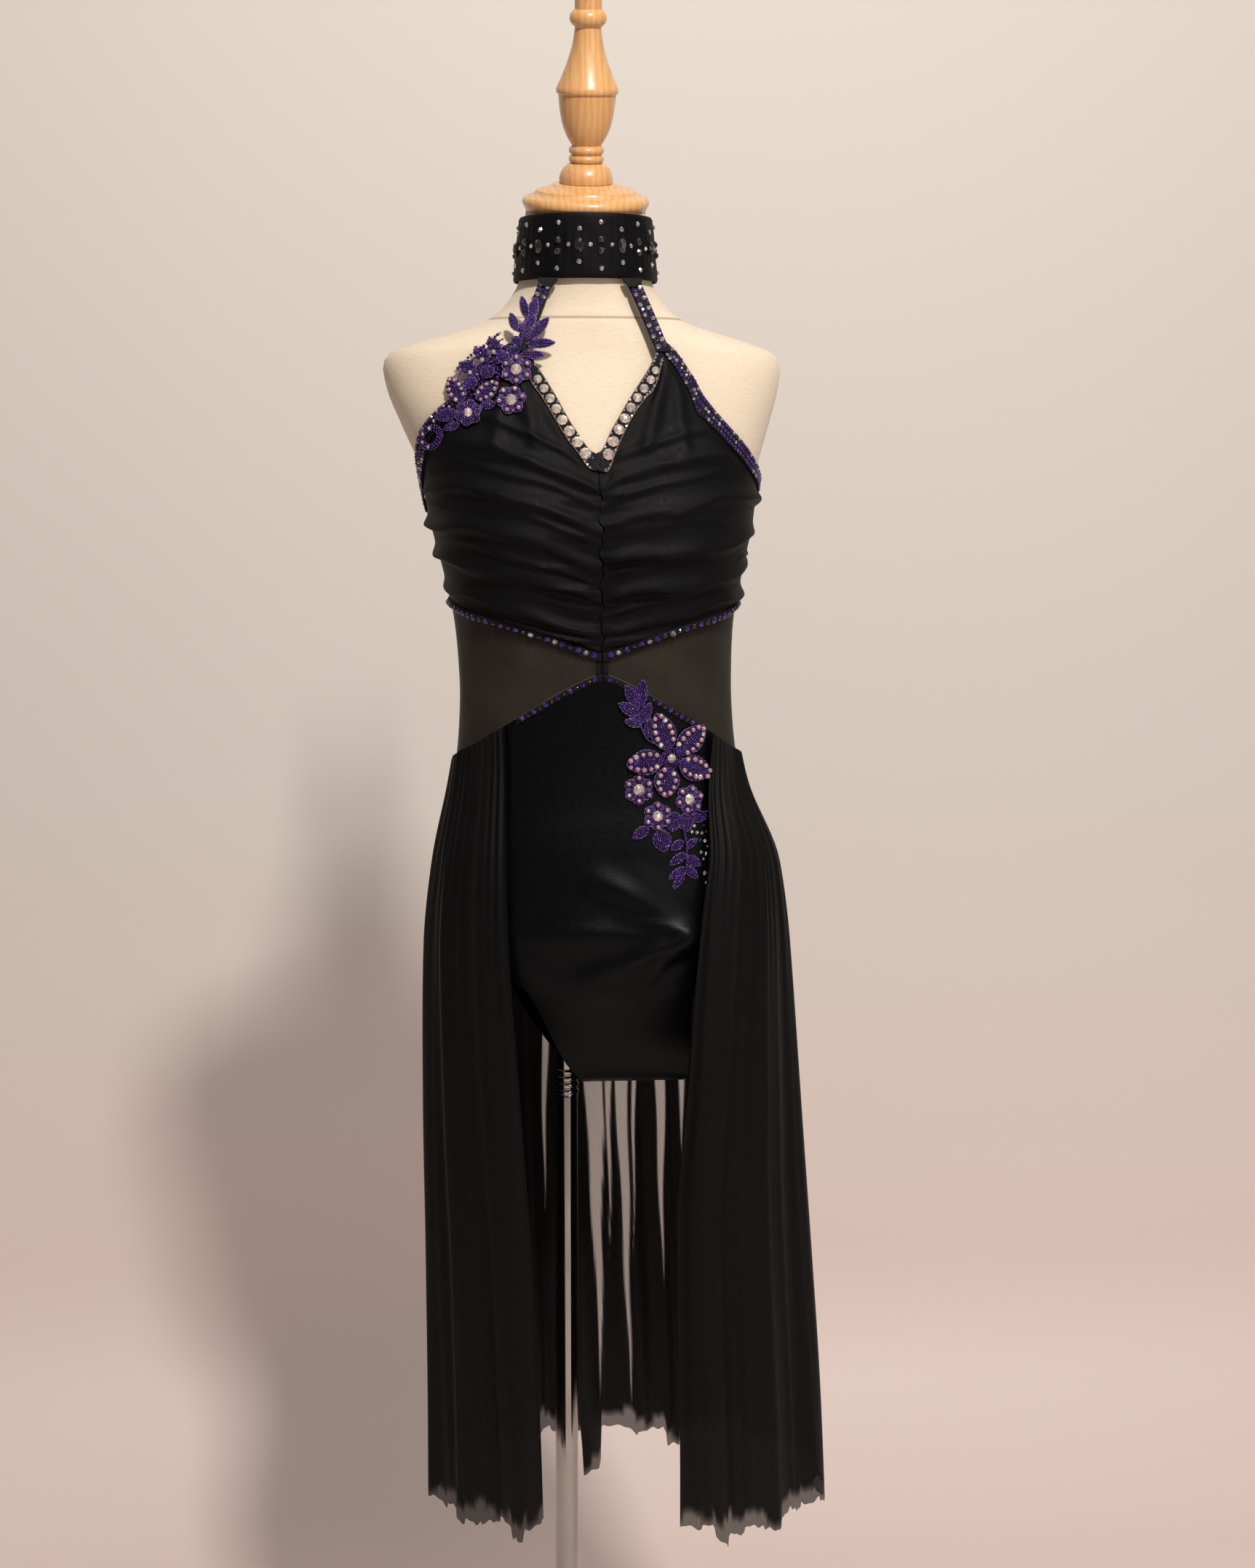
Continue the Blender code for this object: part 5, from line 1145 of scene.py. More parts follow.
# The two neckline tapes cross at the point of the V under a small folded piece, with black stones on it
corner_turns = np.linspace(-1.2, 1.2, 11)
corner_heights = band_at(corner_turns, np.linspace(-0.04, 0.94, 8)[:, None], "top")
inner, normal = on_trimmed(corner_turns, corner_heights, ON_CLOTH + TRIM * 0.75)
corner = make_sheet("neckline_point", inner, normal, 0.0006)
fit_out(corner, tape_cloth, "trim_cloth")


def tube_along(name, paths, radius, finish, sides=6, closed=False):
    """Cords that follow paths of points, as closed tubes in one piece."""
    points, faces, uvs = [], [], []
    angles = np.arange(sides) * 2 * np.pi / sides
    cosines, sines = np.cos(angles)[None, :, None], np.sin(angles)[None, :, None]
    for path in paths:
        path = np.asarray(path, float)
        count = len(path)
        if closed:
            run = unit(np.roll(path, -1, 0) - np.roll(path, 1, 0))
        else:
            run = unit(np.gradient(path, axis=0))
        aside = unit(np.cross(run, np.array([0.13, -0.97, 0.21])))
        over = np.cross(run, aside)
        ring = aside[:, None] * cosines + over[:, None] * sines
        base = sum(len(p) for p in points)
        points.append((path[:, None] + ring * radius).reshape(-1, 3))
        length = np.concatenate([[0.0], np.cumsum(np.linalg.norm(np.diff(path, axis=0), axis=1))])
        uvs.append(np.stack([np.repeat(length, sides), np.tile(angles * radius, count)], -1))
        for i in range(count if closed else count - 1):
            k = (i + 1) % count
            for j in range(sides):
                m = (j + 1) % sides
                quad = (i * sides + j, i * sides + m, k * sides + m, k * sides + j)
                faces.append(tuple(base + corner for corner in quad))
        if not closed:
            faces.append(tuple(base + j for j in range(sides))[::-1])
            faces.append(tuple(base + (count - 1) * sides + j for j in range(sides)))
    piece = take_mesh(name, np.concatenate(points), faces, np.concatenate(uvs))
    pick(piece)
    bpy.ops.object.mode_set(mode="EDIT")
    bpy.ops.mesh.select_all(action="SELECT")
    bpy.ops.mesh.normals_make_consistent(inside=False)
    bpy.ops.object.mode_set(mode="OBJECT")
    piece.data.shade_smooth()
    fit_out(piece, finish, "trim_cloth")


# Two-ply cord: diagonal plies along the cord's own length
cord_twist, given, out = new_group("cord_twist", [], ["Ply"])
ply = waves(cord_twist, given["Vector"], 160.0, 0.0, "DIAGONAL")
cord_twist.links.new(ply.outputs["Fac"], out["Ply"])


def twisted(name, roughness, metallic, painted_ply_shade, light, bump):
    """Twisted cord, with painted shade between its plies."""
    made, tree, shader, place = new_finish(name, roughness, metallic)
    twist = placed(tree, cord_twist, place["UV"])
    tree.links.new(blended(tree, twist["Ply"], painted_ply_shade, light), shader["Base Color"])
    bumped(tree, shader, twist["Ply"], bump, 0.0003)
    return made


tan_cord = twisted("tan_edge_cord", 0.45, 0.0, (0.07, 0.045, 0.025), (0.20, 0.14, 0.08), 0.5)
edge_paths = []
for side in (1, -1):
    turn = side * np.linspace(0.5, 17.2, 60)
    for share in (0.04, 0.965):
        edge_paths.append(on_trimmed(turn, band_at(turn, share, "top"), ON_CLOTH + TRIM * 0.5)[0])
tube_along("neckline_edge_cords", edge_paths, 0.00055, tan_cord)


# Stones: foil-backed glass in round and oval cuts, glued to the tapes and the choker. Clear ones
# have a rainbow coating, and others are purple or black. Beads and pearls are threaded or glued on lace.
def cut_stone(name, sides, girdle, crown, table, long=1.0):
    """A stone of unit width on the XY plane: girdle, a crown of triangles and a flat table."""
    bpy.ops.object.select_all(action="DESELECT")
    foot = 0.46
    bpy.ops.mesh.primitive_circle_add(vertices=sides, radius=foot, fill_type="NGON")
    stone = bpy.context.object
    stone.name = name
    bpy.ops.object.mode_set(mode="EDIT")
    bpy.ops.mesh.select_mode(type="FACE")
    bpy.ops.mesh.select_all(action="SELECT")
    bpy.ops.mesh.extrude_region_move(TRANSFORM_OT_translate={"value": (0, 0, girdle)})
    bpy.ops.transform.resize(value=(0.5 / foot, 0.5 / foot, 1.0), center_override=(0, 0, girdle))
    bpy.ops.mesh.extrude_region_move(TRANSFORM_OT_translate={"value": (0, 0, crown)})
    top = (0, 0, girdle + crown)
    bpy.ops.transform.resize(value=(table, table, 1.0), center_override=top)
    bpy.ops.transform.rotate(value=math.pi / sides, orient_axis="Z", center_override=top)
    bpy.ops.mesh.select_all(action="SELECT")
    bpy.ops.transform.resize(value=(1.0, long, 1.0), center_override=(0, 0, 0))
    bpy.ops.mesh.normals_make_consistent(inside=False)
    bpy.ops.object.mode_set(mode="OBJECT")
    mesh = bmesh.new()
    mesh.from_mesh(stone.data)
    crowned = [f for f in mesh.faces if len(f.verts) == 4 and f.calc_center_median().z > girdle * 1.05]
    bmesh.ops.triangulate(mesh, faces=crowned)
    mesh.to_mesh(stone.data)
    mesh.free()
    return stone


def round_bead(name, levels):
    bpy.ops.object.select_all(action="DESELECT")
    bpy.ops.mesh.primitive_ico_sphere_add(subdivisions=levels, radius=0.5)
    bead = bpy.context.object
    bead.name = name
    bpy.ops.object.mode_set(mode="EDIT")
    bpy.ops.mesh.select_all(action="SELECT")
    bpy.ops.transform.translate(value=(0, 0, 0.36))
    bpy.ops.object.mode_set(mode="OBJECT")
    return bead


def drawn(template):
    """A template's points and faces. The template itself doesn't stay in the scene."""
    points = np.array([v.co for v in template.data.vertices])
    faces = [tuple(f.vertices) for f in template.data.polygons]
    bpy.data.objects.remove(template)
    return points, faces


ROUND = drawn(cut_stone("round_cut", 8, 0.10, 0.30, 0.36))
OVAL = drawn(cut_stone("oval_cut", 10, 0.12, 0.28, 0.45, 1.42))
PEARL = drawn(round_bead("pearl", 2))
SEED = drawn(round_bead("seed_bead", 1))


def set_stones(name, template, places, finish, slot_name, painted_sparkle, seed):
    """Copies of a template in one piece. A stone's tint differs from facet to facet by the given share:
    painted sparkle, lighter and darker in place of the glints and dark reflections of cut glass.
    """
    shape, shape_faces = template
    draw = random.Random(seed)
    points, faces, tints_and_sparkle = [], [], []
    for number, (point, normal, size, spin) in enumerate(places):
        normal = Vector(normal)
        lie = normal.to_track_quat("Z", "Y").to_matrix() @ Matrix.Rotation(spin, 3, "Z")
        tilt = Matrix.Rotation(draw.uniform(-0.09, 0.09), 3, "X")
        tilt = tilt @ Matrix.Rotation(draw.uniform(-0.09, 0.09), 3, "Y")
        points.append(shape @ np.array(lie @ tilt).T * size + np.array(point))
        faces += [tuple(v + number * len(shape) for v in f) for f in shape_faces]
        whole = draw.random()
        # each facet's tint: the stone's own, plus painted sparkle that differs from facet to facet
        tints_and_sparkle += [(whole + painted_sparkle * draw.random()) % 1.0 for _ in shape_faces]
    piece = take_mesh(name, np.concatenate(points), faces)
    layer = piece.data.attributes.new("tint", "FLOAT", "FACE")
    layer.data.foreach_set("value", np.array(tints_and_sparkle, np.float32))
    if painted_sparkle == 0:
        piece.data.shade_smooth()
    fit_out(piece, finish, slot_name)


# Colour of a stone or bead by its own tint and its place. On cut stones the tint also differs from facet to
# facet, which is painted sparkle.
stone_tint, given, out = new_group("stone_tint", ["Tint"], ["First", "Second", "Depth"])
swirl = noise(stone_tint, given["Vector"], 420.0, 1.0)
mixed = sums(stone_tint, "ADD", given["Tint"], sums(stone_tint, "MULTIPLY", swirl, 0.8))
faster = sums(stone_tint, "MULTIPLY", mixed, 3.7)
stone_tint.links.new(sums(stone_tint, "FRACT", mixed, 0.0), out["First"])
stone_tint.links.new(sums(stone_tint, "FRACT", faster, 0.0), out["Second"])
stone_tint.links.new(swirl, out["Depth"])


def glassy(name, first, second, third, roughness, metallic, coat):
    """Glass or pearl whose colour drifts between three colours from stone to stone, and on cut stones from
    facet to facet as painted sparkle.
    """
    made, tree, shader, place = new_finish(name, roughness, metallic)
    tint = tree.nodes.new("ShaderNodeAttribute")
    tint.attribute_name = "tint"
    mix = placed(tree, stone_tint, place["Object"], Tint=tint.outputs["Fac"])
    base = blended(tree, mix["First"], first, second)
    final = blended(tree, remapped(tree, mix["Second"], 0.45, 0.95, 0.0, 0.9), base, third)
    tree.links.new(final, shader["Base Color"])
    rough = remapped(tree, mix["Depth"], 0.3, 0.7, roughness * 0.7, roughness * 1.5)
    tree.links.new(rough, shader["Roughness"])
    shader["Coat Weight"].default_value = coat
    shader["Coat Roughness"].default_value = 0.04
    return made


rainbow_glass = glassy(
    "rainbow_glass", (1.00, 0.96, 0.88), (0.52, 0.47, 0.55), (0.86, 0.60, 0.38), 0.06, 0.60, 1.0
)
# Clear glass: the pale colour is its own, the dark grey colours are painted dark reflections on its facets
clear_glass = glassy(
    "clear_glass", (0.92, 0.90, 0.88), (0.22, 0.21, 0.24), (0.10, 0.09, 0.10), 0.08, 0.75, 1.0
)
purple_glass = glassy(
    "purple_glass", (0.016, 0.003, 0.070), (0.110, 0.038, 0.330), (0.003, 0.001, 0.012), 0.08, 0.50, 0.7
)
black_glass = glassy(
    "black_glass", (0.0015, 0.0015, 0.002), (0.005, 0.005, 0.007), (0.020, 0.020, 0.024), 0.09, 0.0, 0.5
)


def path_of(kind, share, start, end, lift, count=400):
    """A dense path along a trim: points and outward directions."""
    turn = np.linspace(start, end, count)
    return on_trimmed(turn, band_at(turn, share, kind), np.full(count, lift))


def walk(path, sizes, gap, begin=0.0):
    """Places along a path for a row of stones of the given sizes, edge to edge with a gap: point,
    outward direction, size and spin."""
    points, normals = path
    marks = np.concatenate([[0.0], np.cumsum(np.linalg.norm(np.diff(points, axis=0), axis=1))])
    spot, made = begin, []
    for size in sizes:
        spot += size / 2
        if spot > marks[-1]:
            break
        point = [float(np.interp(spot, marks, points[:, k])) for k in range(3)]
        normal = [float(np.interp(spot, marks, normals[:, k])) for k in range(3)]
        made.append((point, normal, size, 0.0))
        spot += size / 2 + gap
    return made


def row_on(kind, share, start, end, sizes, gap, begin):
    """Places for a row of stones along a trim."""
    return walk(path_of(kind, share, start, end, ON_TAPE), sizes, gap, begin)


ON_TAPE = ON_CLOTH + TRIM * 0.72
draw = random.Random(5)
rainbow, clear, purple, black, ovals = [], [], [], [], []
# V neckline: large rainbow stones that grow towards the vertex, small clear ones in the notches
for side in (1, -1):
    sizes = [0.0106 - 0.00042 * k for k in range(9)]
    middle = row_on("top", 0.50, side * 0.9, side * 17.2, sizes, 0.0019, 0.0026)
    rainbow += [(p, n, s, draw.uniform(0, 1)) for p, n, s, _ in middle]
    for share in (0.10, 0.90):
        for p, n, s, _ in row_on("top", share, side * 0.9, side * 17.2, [0.0028] * 40, 0.0006, 0.001):
            near = min((Vector(p) - Vector(q)).length - r / 2 for q, _, r, _ in middle)
            if near > 0.0013:
                clear.append((p, n, s * draw.uniform(0.85, 1.1), draw.uniform(0, 1)))
# four black stones on the point of the V
POINT_STONES = [(0.0, 0.22, 0.0044), (-0.8, 0.58, 0.0034), (0.8, 0.58, 0.0034), (0.0, 0.86, 0.0030)]
for turn, share, size in POINT_STONES:
    turn = np.array([turn])
    point, normal = on_trimmed(turn, band_at(turn, share, "top"), ON_TAPE + 0.0008)
    black.append((point[0], normal[0], size, 0.2))
# armholes: crowded rows of purple and clear stones
for side in (1, -1):
    for row, share in enumerate((0.18, 0.52, 0.86)):
        sizes = [draw.choice([0.0030, 0.0034, 0.0038]) for _ in range(90)]
        for p, n, s, _ in row_on("top", share, side * 18.2, side * 99.0, sizes, 0.0003, 0.0008 * row):
            kind = draw.random()
            place = (p, n, s, draw.uniform(0, 1))
            (purple if kind < 0.58 else clear if kind < 0.86 else black).append(place)
# underbust: purple stones between black ones, a few clear ones near the middle
for side in (1, -1):
    sizes = [0.0058 if k % 2 == 0 else 0.0050 for k in range(60)]
    row = row_on("bust", 0.5, side * 0.9, side * 99.0, sizes, 0.0018, 0.001)
    for k, (p, n, s, _) in enumerate(row):
        place = (p, n, s, draw.uniform(0, 1))
        if k in (1, 5, 8):
            clear.append(place)
        elif k % 2:
            black.append(place)
        else:
            purple.append(place)
# brief: purple and black by turns, as far as the skirt's edges
for side, end in ((1, 42.5), (-1, 33.5)):
    sizes = [0.0050 if k % 2 == 0 else 0.0040 for k in range(40)]
    row = row_on("brief", 0.5, side * 0.8, side * end, sizes, 0.0016, 0.001)
    for k, (p, n, s, _) in enumerate(row):
        place = (p, n, s, draw.uniform(0, 1))
        (black if k % 2 else purple).append(place)


# Straps: two taut tapes from the choker's foot to the peaks of the bodice, with stones in two
# columns, and under each the small hook tab that fastens it to the choker.
COLLAR_BOTTOM, COLLAR_TOP = 1.4530, 1.5085
STRAP_TOP, STRAP_FOOT, STRAP_WIDTH, STRAP_THICK = 0.0365, 0.0610, 0.0122, 0.0022
FOOT_RISE, TAB_HALF, TAB_LENGTH, TAB_THICK = 0.0016, 0.0085, 0.0085, 0.0014


def front_turn(x, height):
    """Angles at which the dress's tube is at x."""
    centre, half, fullness = (curve_at(DRESS[:, 0], DRESS[:, k], height) for k in (1, 3, 6))
    share = (x - centre) / half
    return np.sign(share) * np.degrees(np.arcsin(np.minimum(0.97, np.abs(share)) ** (fullness / 2)))


strap_foot = float(height_of(NECKLINE, PEAK_TURN)) - 0.009
strap_top = COLLAR_BOTTOM - STRAP_THICK / 2 - GAP
for side, word in ((1, "left"), (-1, "right")):
    share = np.linspace(0.0, 1.0, 26)[:, None]
    heights = strap_foot + share * (strap_top - strap_foot)
    middle = NECK_CENTRE + side * (STRAP_FOOT + share * (STRAP_TOP - STRAP_FOOT))
    offsets = np.linspace(-0.5, 0.5, 9)[None, :]
    xs = middle + offsets * STRAP_WIDTH
    inner, normal = on_dress(front_turn(xs, heights), heights)
    foot = FOOT_RISE * (1 - smooth(0.04, 0.22, share))
    inner = inner + normal * (CLOTH + GAP + TRIM - STRAP_THICK + foot)[..., None]
    thick = STRAP_THICK * (0.60 + 0.36 * np.cos(np.pi * offsets) ** 0.6)
    piece = make_sheet(f"strap_tape_{word}", inner, normal, thick)
    fit_out(piece, tape_cloth, "trim_cloth", f"strap_{word}")
    for column, offset in enumerate((-0.25, 0.25)):
        share = np.linspace(0.03, 0.97, 120)
        z = strap_foot + share * (strap_top - strap_foot)
        x = NECK_CENTRE + side * (STRAP_FOOT + share * (STRAP_TOP - STRAP_FOOT)) + offset * STRAP_WIDTH
        path, normals = on_dress(front_turn(x, z), z)
        foot = FOOT_RISE * (1 - smooth(0.04, 0.22, share))
        path = path + normals * (CLOTH + GAP + TRIM - 0.0002 + foot)[:, None]
        for k, (p, n, s, _) in enumerate(walk((path, normals), [0.0046] * 20, 0.0005, 0.0022 * column)):
            (purple if (k + column) % 2 else clear).append((p, n, s, draw.uniform(0, 1)))


# The choker's ends of the straps: small black tabs that hook to the choker's lower edge
for side, word in ((1, "left"), (-1, "right")):
    up = np.linspace(0.0, 1.0, 7)[:, None]
    across = np.linspace(-TAB_HALF, TAB_HALF, 9)[None, :] * (0.55 + 0.45 * smooth(0.0, 0.7, up))
    xs = NECK_CENTRE + side * STRAP_TOP + across
    heights = strap_top - TAB_LENGTH * (1 - up)
    inner, normal = on_dress(front_turn(xs, heights), heights)
    inner = inner + normal * (CLOTH + TRIM + 0.0010)
    tab = make_sheet(f"strap_hook_tab_{word}", inner, normal, TAB_THICK)
    fit_out(tab, jersey, "black_stretch_cloth")


# Choker: a stiff band covered in black stretch cloth, its ends hooked together behind. Columns of
# studs go round it: black ovals and pairs of dark rounds by turns, small clear stones between them.
COLLAR_WALL, HOOK_TAB, MIDDLE = 0.0022, 0.0011, (COLLAR_BOTTOM + COLLAR_TOP) / 2


def on_collar(turn, height, lift=0.0):
    """Points of the choker's inner face and their outward directions."""
    turn, height = np.broadcast_arrays(np.asarray(turn, float), np.asarray(height, float))
    share = (height - COLLAR_BOTTOM) / (COLLAR_TOP - COLLAR_BOTTOM)
    radius = 0.0640 + share * (0.0585 - 0.0640) - COLLAR_WALL
    forward = 0.0020 + share * (0.0075 - 0.0020)
    out = np.stack([np.sin(np.radians(turn)), -np.cos(np.radians(turn)), np.zeros(turn.shape)], -1)
    middle = np.stack([np.full(turn.shape, NECK_CENTRE), -forward, height], -1)
    return middle + out * (radius + lift)[..., None], out


turn = np.linspace(-179.6, 179.6, 220)
share = np.linspace(0.0, 1.0, 24)[:, None]
heights = COLLAR_BOTTOM + share * (COLLAR_TOP - COLLAR_BOTTOM)
pucker = 0.00025 * np.sin(turn * 0.9) * np.sin(np.pi * share) + 0.0002 * np.sin(turn * 0.23 + 9 * share)
inner, normal = on_collar(turn, heights)
# the cloth is turned over both edges and stitched down 4 mm in, which leaves a shallow groove
edge_share = np.minimum(share, 1 - share) * (COLLAR_TOP - COLLAR_BOTTOM)
groove = 0.0004 * np.exp(-(((edge_share - 0.0042) / 0.0007) ** 2))
roll = 0.45 + 0.55 * smooth(0.0, 0.0016, edge_share)
choker = make_sheet("choker_band", inner, normal, COLLAR_WALL * roll + pucker - groove)
fit_out(choker, jersey, "black_stretch_cloth", "collar")
for side, word in ((1, "left"), (-1, "right")):
    turn = np.linspace(180 - side * 8.0, 180 - side * 0.7, 10)
    if side < 0:
        turn = turn[::-1]
    heights = (MIDDLE + np.linspace(-0.015, 0.015, 12))[:, None]
    inner, normal = on_collar(turn, heights, COLLAR_WALL + GAP)
    tab = make_sheet(f"choker_hook_tab_{word}", inner, normal, HOOK_TAB)
    fit_out(tab, jersey, "black_stretch_cloth", f"collar_hook_{word}")
COLUMNS = 20
OVAL_COLUMN = [(0.0000, 0.0088, ovals), (0.0140, 0.0046, clear), (-0.0140, 0.0046, clear)]
ROUND_COLUMN = [
    (0.0045, 0.0068, black), (-0.0045, 0.0068, black), (0.0195, 0.0046, clear), (-0.0195, 0.0046, clear),
]
for k in range(COLUMNS):
    turn = -180 + 360 * (k + 0.5) / COLUMNS
    for up, size, group in OVAL_COLUMN if k % 2 else ROUND_COLUMN:
        point, normal = on_collar(turn, MIDDLE + up, COLLAR_WALL)
        group.append((point, normal, size, 0.0))
    between = turn + 180 / COLUMNS
    if k < COLUMNS - 1:
        point, normal = on_collar(between, MIDDLE + draw.uniform(-0.001, 0.001), COLLAR_WALL)
        (clear if k % 3 else rainbow).append((point, normal, 0.0040, 0.3))


# Lace: purple embroidered net, cut out petal by petal and sewn on at the shoulder and at the hip.
# Each petal and leaf is outlined with lilac cord and filled with seed beads, or rimmed with pearls.
LACE = 0.0008
ON_TRIM = TRIM + GAP
ON_LACE = ON_TRIM + LACE + 2 * GAP


def on_front(x, z, lift):
    """Points above the cloth of the front, on its folds, and their outward directions."""
    x, z = np.broadcast_arrays(np.asarray(x, float), np.asarray(z, float))
    turn = front_turn(x, z)
    point, normal = on_dress(turn, z)
    above, below = z > height_of(UNDERBUST, turn), z < height_of(HIP_SEAM, turn)
    rise = np.where(above, bodice_rise(turn, z), np.where(below, ridges(PULLS, x, z), 0.0))
    return point + normal * (rise + lift)[..., None], normal


def rose(x, z, radius, petals, turned, over, dressing):
    """The round petals of a small flower."""
    made = []
    for k in range(petals):
        turn = math.radians(turned) + math.tau * k / petals
        run = np.array([math.sin(turn), math.cos(turn)])
        base, tip = np.array([x, z]) + run * radius * 0.30, np.array([x, z]) + run * radius * 1.06
        made.append((*base, *tip, radius * 0.44, over, dressing))
    return made


# Each petal: its root (x, z), its tip (x, z), half its width, how high it stands, and what fills it
HIP_PETALS = [
    (0.0835, 1.0460, 0.0730, 1.0785, 0.0112, ON_TRIM, "pearls"),
    (0.0915, 1.0425, 0.1150, 1.0660, 0.0110, ON_TRIM, "pearls"),
    (0.0930, 1.0350, 0.1200, 1.0220, 0.0110, ON_TRIM, "pearls"),
    (0.0830, 1.0310, 0.0797, 1.0045, 0.0112, ON_TRIM, "pearls"),
    (0.0785, 1.0375, 0.0470, 1.0337, 0.0112, ON_TRIM, "pearls"),
    (0.0575, 1.0830, 0.0615, 1.1085, 0.0058, ON_TRIM, "beads"),
    (0.0570, 1.0850, 0.0465, 1.1040, 0.0052, ON_TRIM, "beads"),
    (0.0580, 1.0770, 0.0405, 1.0880, 0.0050, ON_TRIM, "beads"),
    (0.0605, 1.0690, 0.0455, 1.0725, 0.0040, ON_TRIM, "beads"),
    (0.0595, 1.0700, 0.0680, 1.0880, 0.0046, ON_TRIM, "beads"),
    (0.0650, 1.0570, 0.0675, 1.0740, 0.0040, ON_TRIM, "beads"),
    (0.0655, 0.9790, 0.0520, 0.9705, 0.0046, 0.0, "beads"),
    (0.0758, 0.9770, 0.0790, 0.9580, 0.0080, 0.0, "beads"),
    (0.0890, 0.9920, 0.0860, 0.9750, 0.0070, 0.0, "beads"),
    (0.0960, 0.9900, 0.1000, 0.9745, 0.0070, 0.0, "beads"),
    (0.1010, 0.9860, 0.1185, 0.9865, 0.0046, 0.0, "beads"),
    (0.0960, 0.9665, 0.0850, 0.9600, 0.0038, 0.0, "beads"),
    (0.0985, 0.9560, 0.0835, 0.9470, 0.0038, 0.0, "beads"),
    (0.0980, 0.9440, 0.0825, 0.9350, 0.0034, 0.0, "beads"),
    (0.0960, 0.9380, 0.0862, 0.9265, 0.0032, 0.0, "beads"),
    (0.0985, 0.9610, 0.1080, 0.9680, 0.0032, 0.0, "beads"),
    (0.0990, 0.9530, 0.1110, 0.9450, 0.0042, 0.0, "beads"),
    (0.0980, 0.9450, 0.1080, 0.9340, 0.0038, 0.0, "beads"),
]
HIP_PETALS += rose(0.0577, 1.0120, 0.0125, 6, 0, 0.0, "rose")
HIP_PETALS += rose(0.1018, 1.0020, 0.0120, 6, 15, 0.0, "rose")
HIP_PETALS += rose(0.0737, 0.9885, 0.0120, 6, 0, 0.0, "rose")
SHOULDER_PETALS = [
    (-0.0340, 1.3990, -0.0175, 1.4160, 0.0044, ON_LACE, "beads"),
    (-0.0370, 1.3945, -0.0125, 1.3955, 0.0040, ON_LACE, "beads"),
    (-0.0420, 1.3860, -0.0210, 1.3855, 0.0034, ON_LACE, "beads"),
    (-0.0362, 1.4150, -0.0405, 1.4345, 0.0036, ON_LACE, "beads"),
    (-0.0450, 1.4050, -0.0500, 1.4200, 0.0038, ON_LACE, "beads"),
    (-0.0345, 1.4130, -0.0275, 1.4340, 0.0048, ON_TRIM, "beads"),
    (-0.0380, 1.4080, -0.0285, 1.4180, 0.0040, ON_TRIM, "beads"),
    (-0.0390, 1.4060, -0.0460, 1.4100, 0.0036, ON_TRIM, "beads"),
    (-0.0405, 1.3990, -0.0310, 1.4075, 0.0042, ON_TRIM, "beads"),
    (-0.0410, 1.3960, -0.0500, 1.3990, 0.0038, ON_TRIM, "beads"),
    (-0.0430, 1.3890, -0.0540, 1.3900, 0.0042, ON_TRIM, "beads"),
    (-0.0520, 1.3800, -0.0620, 1.3890, 0.0050, ON_TRIM, "beads"),
    (-0.0600, 1.3860, -0.0680, 1.4010, 0.0052, ON_TRIM, "stones"),
    (-0.0690, 1.3810, -0.0800, 1.3930, 0.0056, ON_TRIM, "stones"),
    (-0.0790, 1.3720, -0.0930, 1.3800, 0.0060, ON_TRIM, "stones"),
    (-0.0640, 1.3740, -0.0760, 1.3690, 0.0056, ON_TRIM, "beads"),
    (-0.0780, 1.3640, -0.0900, 1.3610, 0.0054, ON_TRIM, "beads"),
    (-0.0905, 1.3455, -0.1015, 1.3675, 0.0076, ON_TRIM, "pearls"),
    (-0.0795, 1.3480, -0.0610, 1.3630, 0.0074, 0.0, "pearls"),
    (-0.0760, 1.3430, -0.0630, 1.3440, 0.0040, 0.0, "beads"),
    (-0.0950, 1.3375, -0.1130, 1.3330, 0.0056, ON_TRIM, "beads"),
    (-0.0930, 1.3290, -0.1060, 1.3230, 0.0040, 0.0, "beads"),
]
SHOULDER_PETALS += rose(-0.0455, 1.3730, 0.0128, 6, 0, ON_TRIM + GAP, "rose")
SHOULDER_PETALS += rose(-0.0502, 1.3471, 0.0120, 6, 20, 0.0008, "rose")
SHOULDER_PETALS += rose(-0.0855, 1.3367, 0.0108, 6, 10, ON_TRIM, "beads")
STEMS = [
    ((0.0800, 1.0480), (0.0640, 1.0570), (0.0575, 1.0780), (0.0590, 1.0960)),
    ((0.0950, 0.9800), (0.0980, 0.9600), (0.0975, 0.9430), (0.0900, 0.9310)),
    ((0.1060, 0.9930), (0.1150, 0.9900), (0.1205, 1.0010)),
    ((-0.0275, 1.4300), (-0.0370, 1.4120), (-0.0415, 1.3960), (-0.0440, 1.3860)),
    ((-0.0560, 1.3850), (-0.0700, 1.3780), (-0.0840, 1.3660), (-0.0920, 1.3480)),
    ((-0.0560, 1.3990), (-0.0650, 1.3940), (-0.0790, 1.3840), (-0.0910, 1.3720), (-0.0970, 1.3590)),
]
RIM = 0.055


def petal_width(half, share):
    return half * np.maximum(np.sin(np.pi * share**0.88) ** 0.72, RIM)


def across_petal(petal, share, across):
    """Where a place along and across a petal lies, as x and z."""
    x, z, to_x, to_z, half = petal[:5]
    run_x, run_z = to_x - x, to_z - z
    length = math.hypot(run_x, run_z)
    wide = petal_width(half, share) * across
    return x + run_x * share - run_z / length * wide, z + run_z * share + run_x / length * wide


def inside_petal(petal, x, z, spare):
    base_x, base_z, to_x, to_z, half = petal[:5]
    run = np.array([to_x - base_x, to_z - base_z])
    length = np.hypot(*run)
    along = ((x - base_x) * run[0] + (z - base_z) * run[1]) / length
    aside = abs((z - base_z) * run[0] - (x - base_x) * run[1]) / length
    if along < -spare or along > length + spare:
        return False
    return aside < petal_width(half, np.clip(along / length, 0.0, 1.0)) + spare


lilac_cord = twisted("lilac_outline_cord", 0.34, 0.25, (0.018, 0.005, 0.060), (0.190, 0.100, 0.330), 0.6)

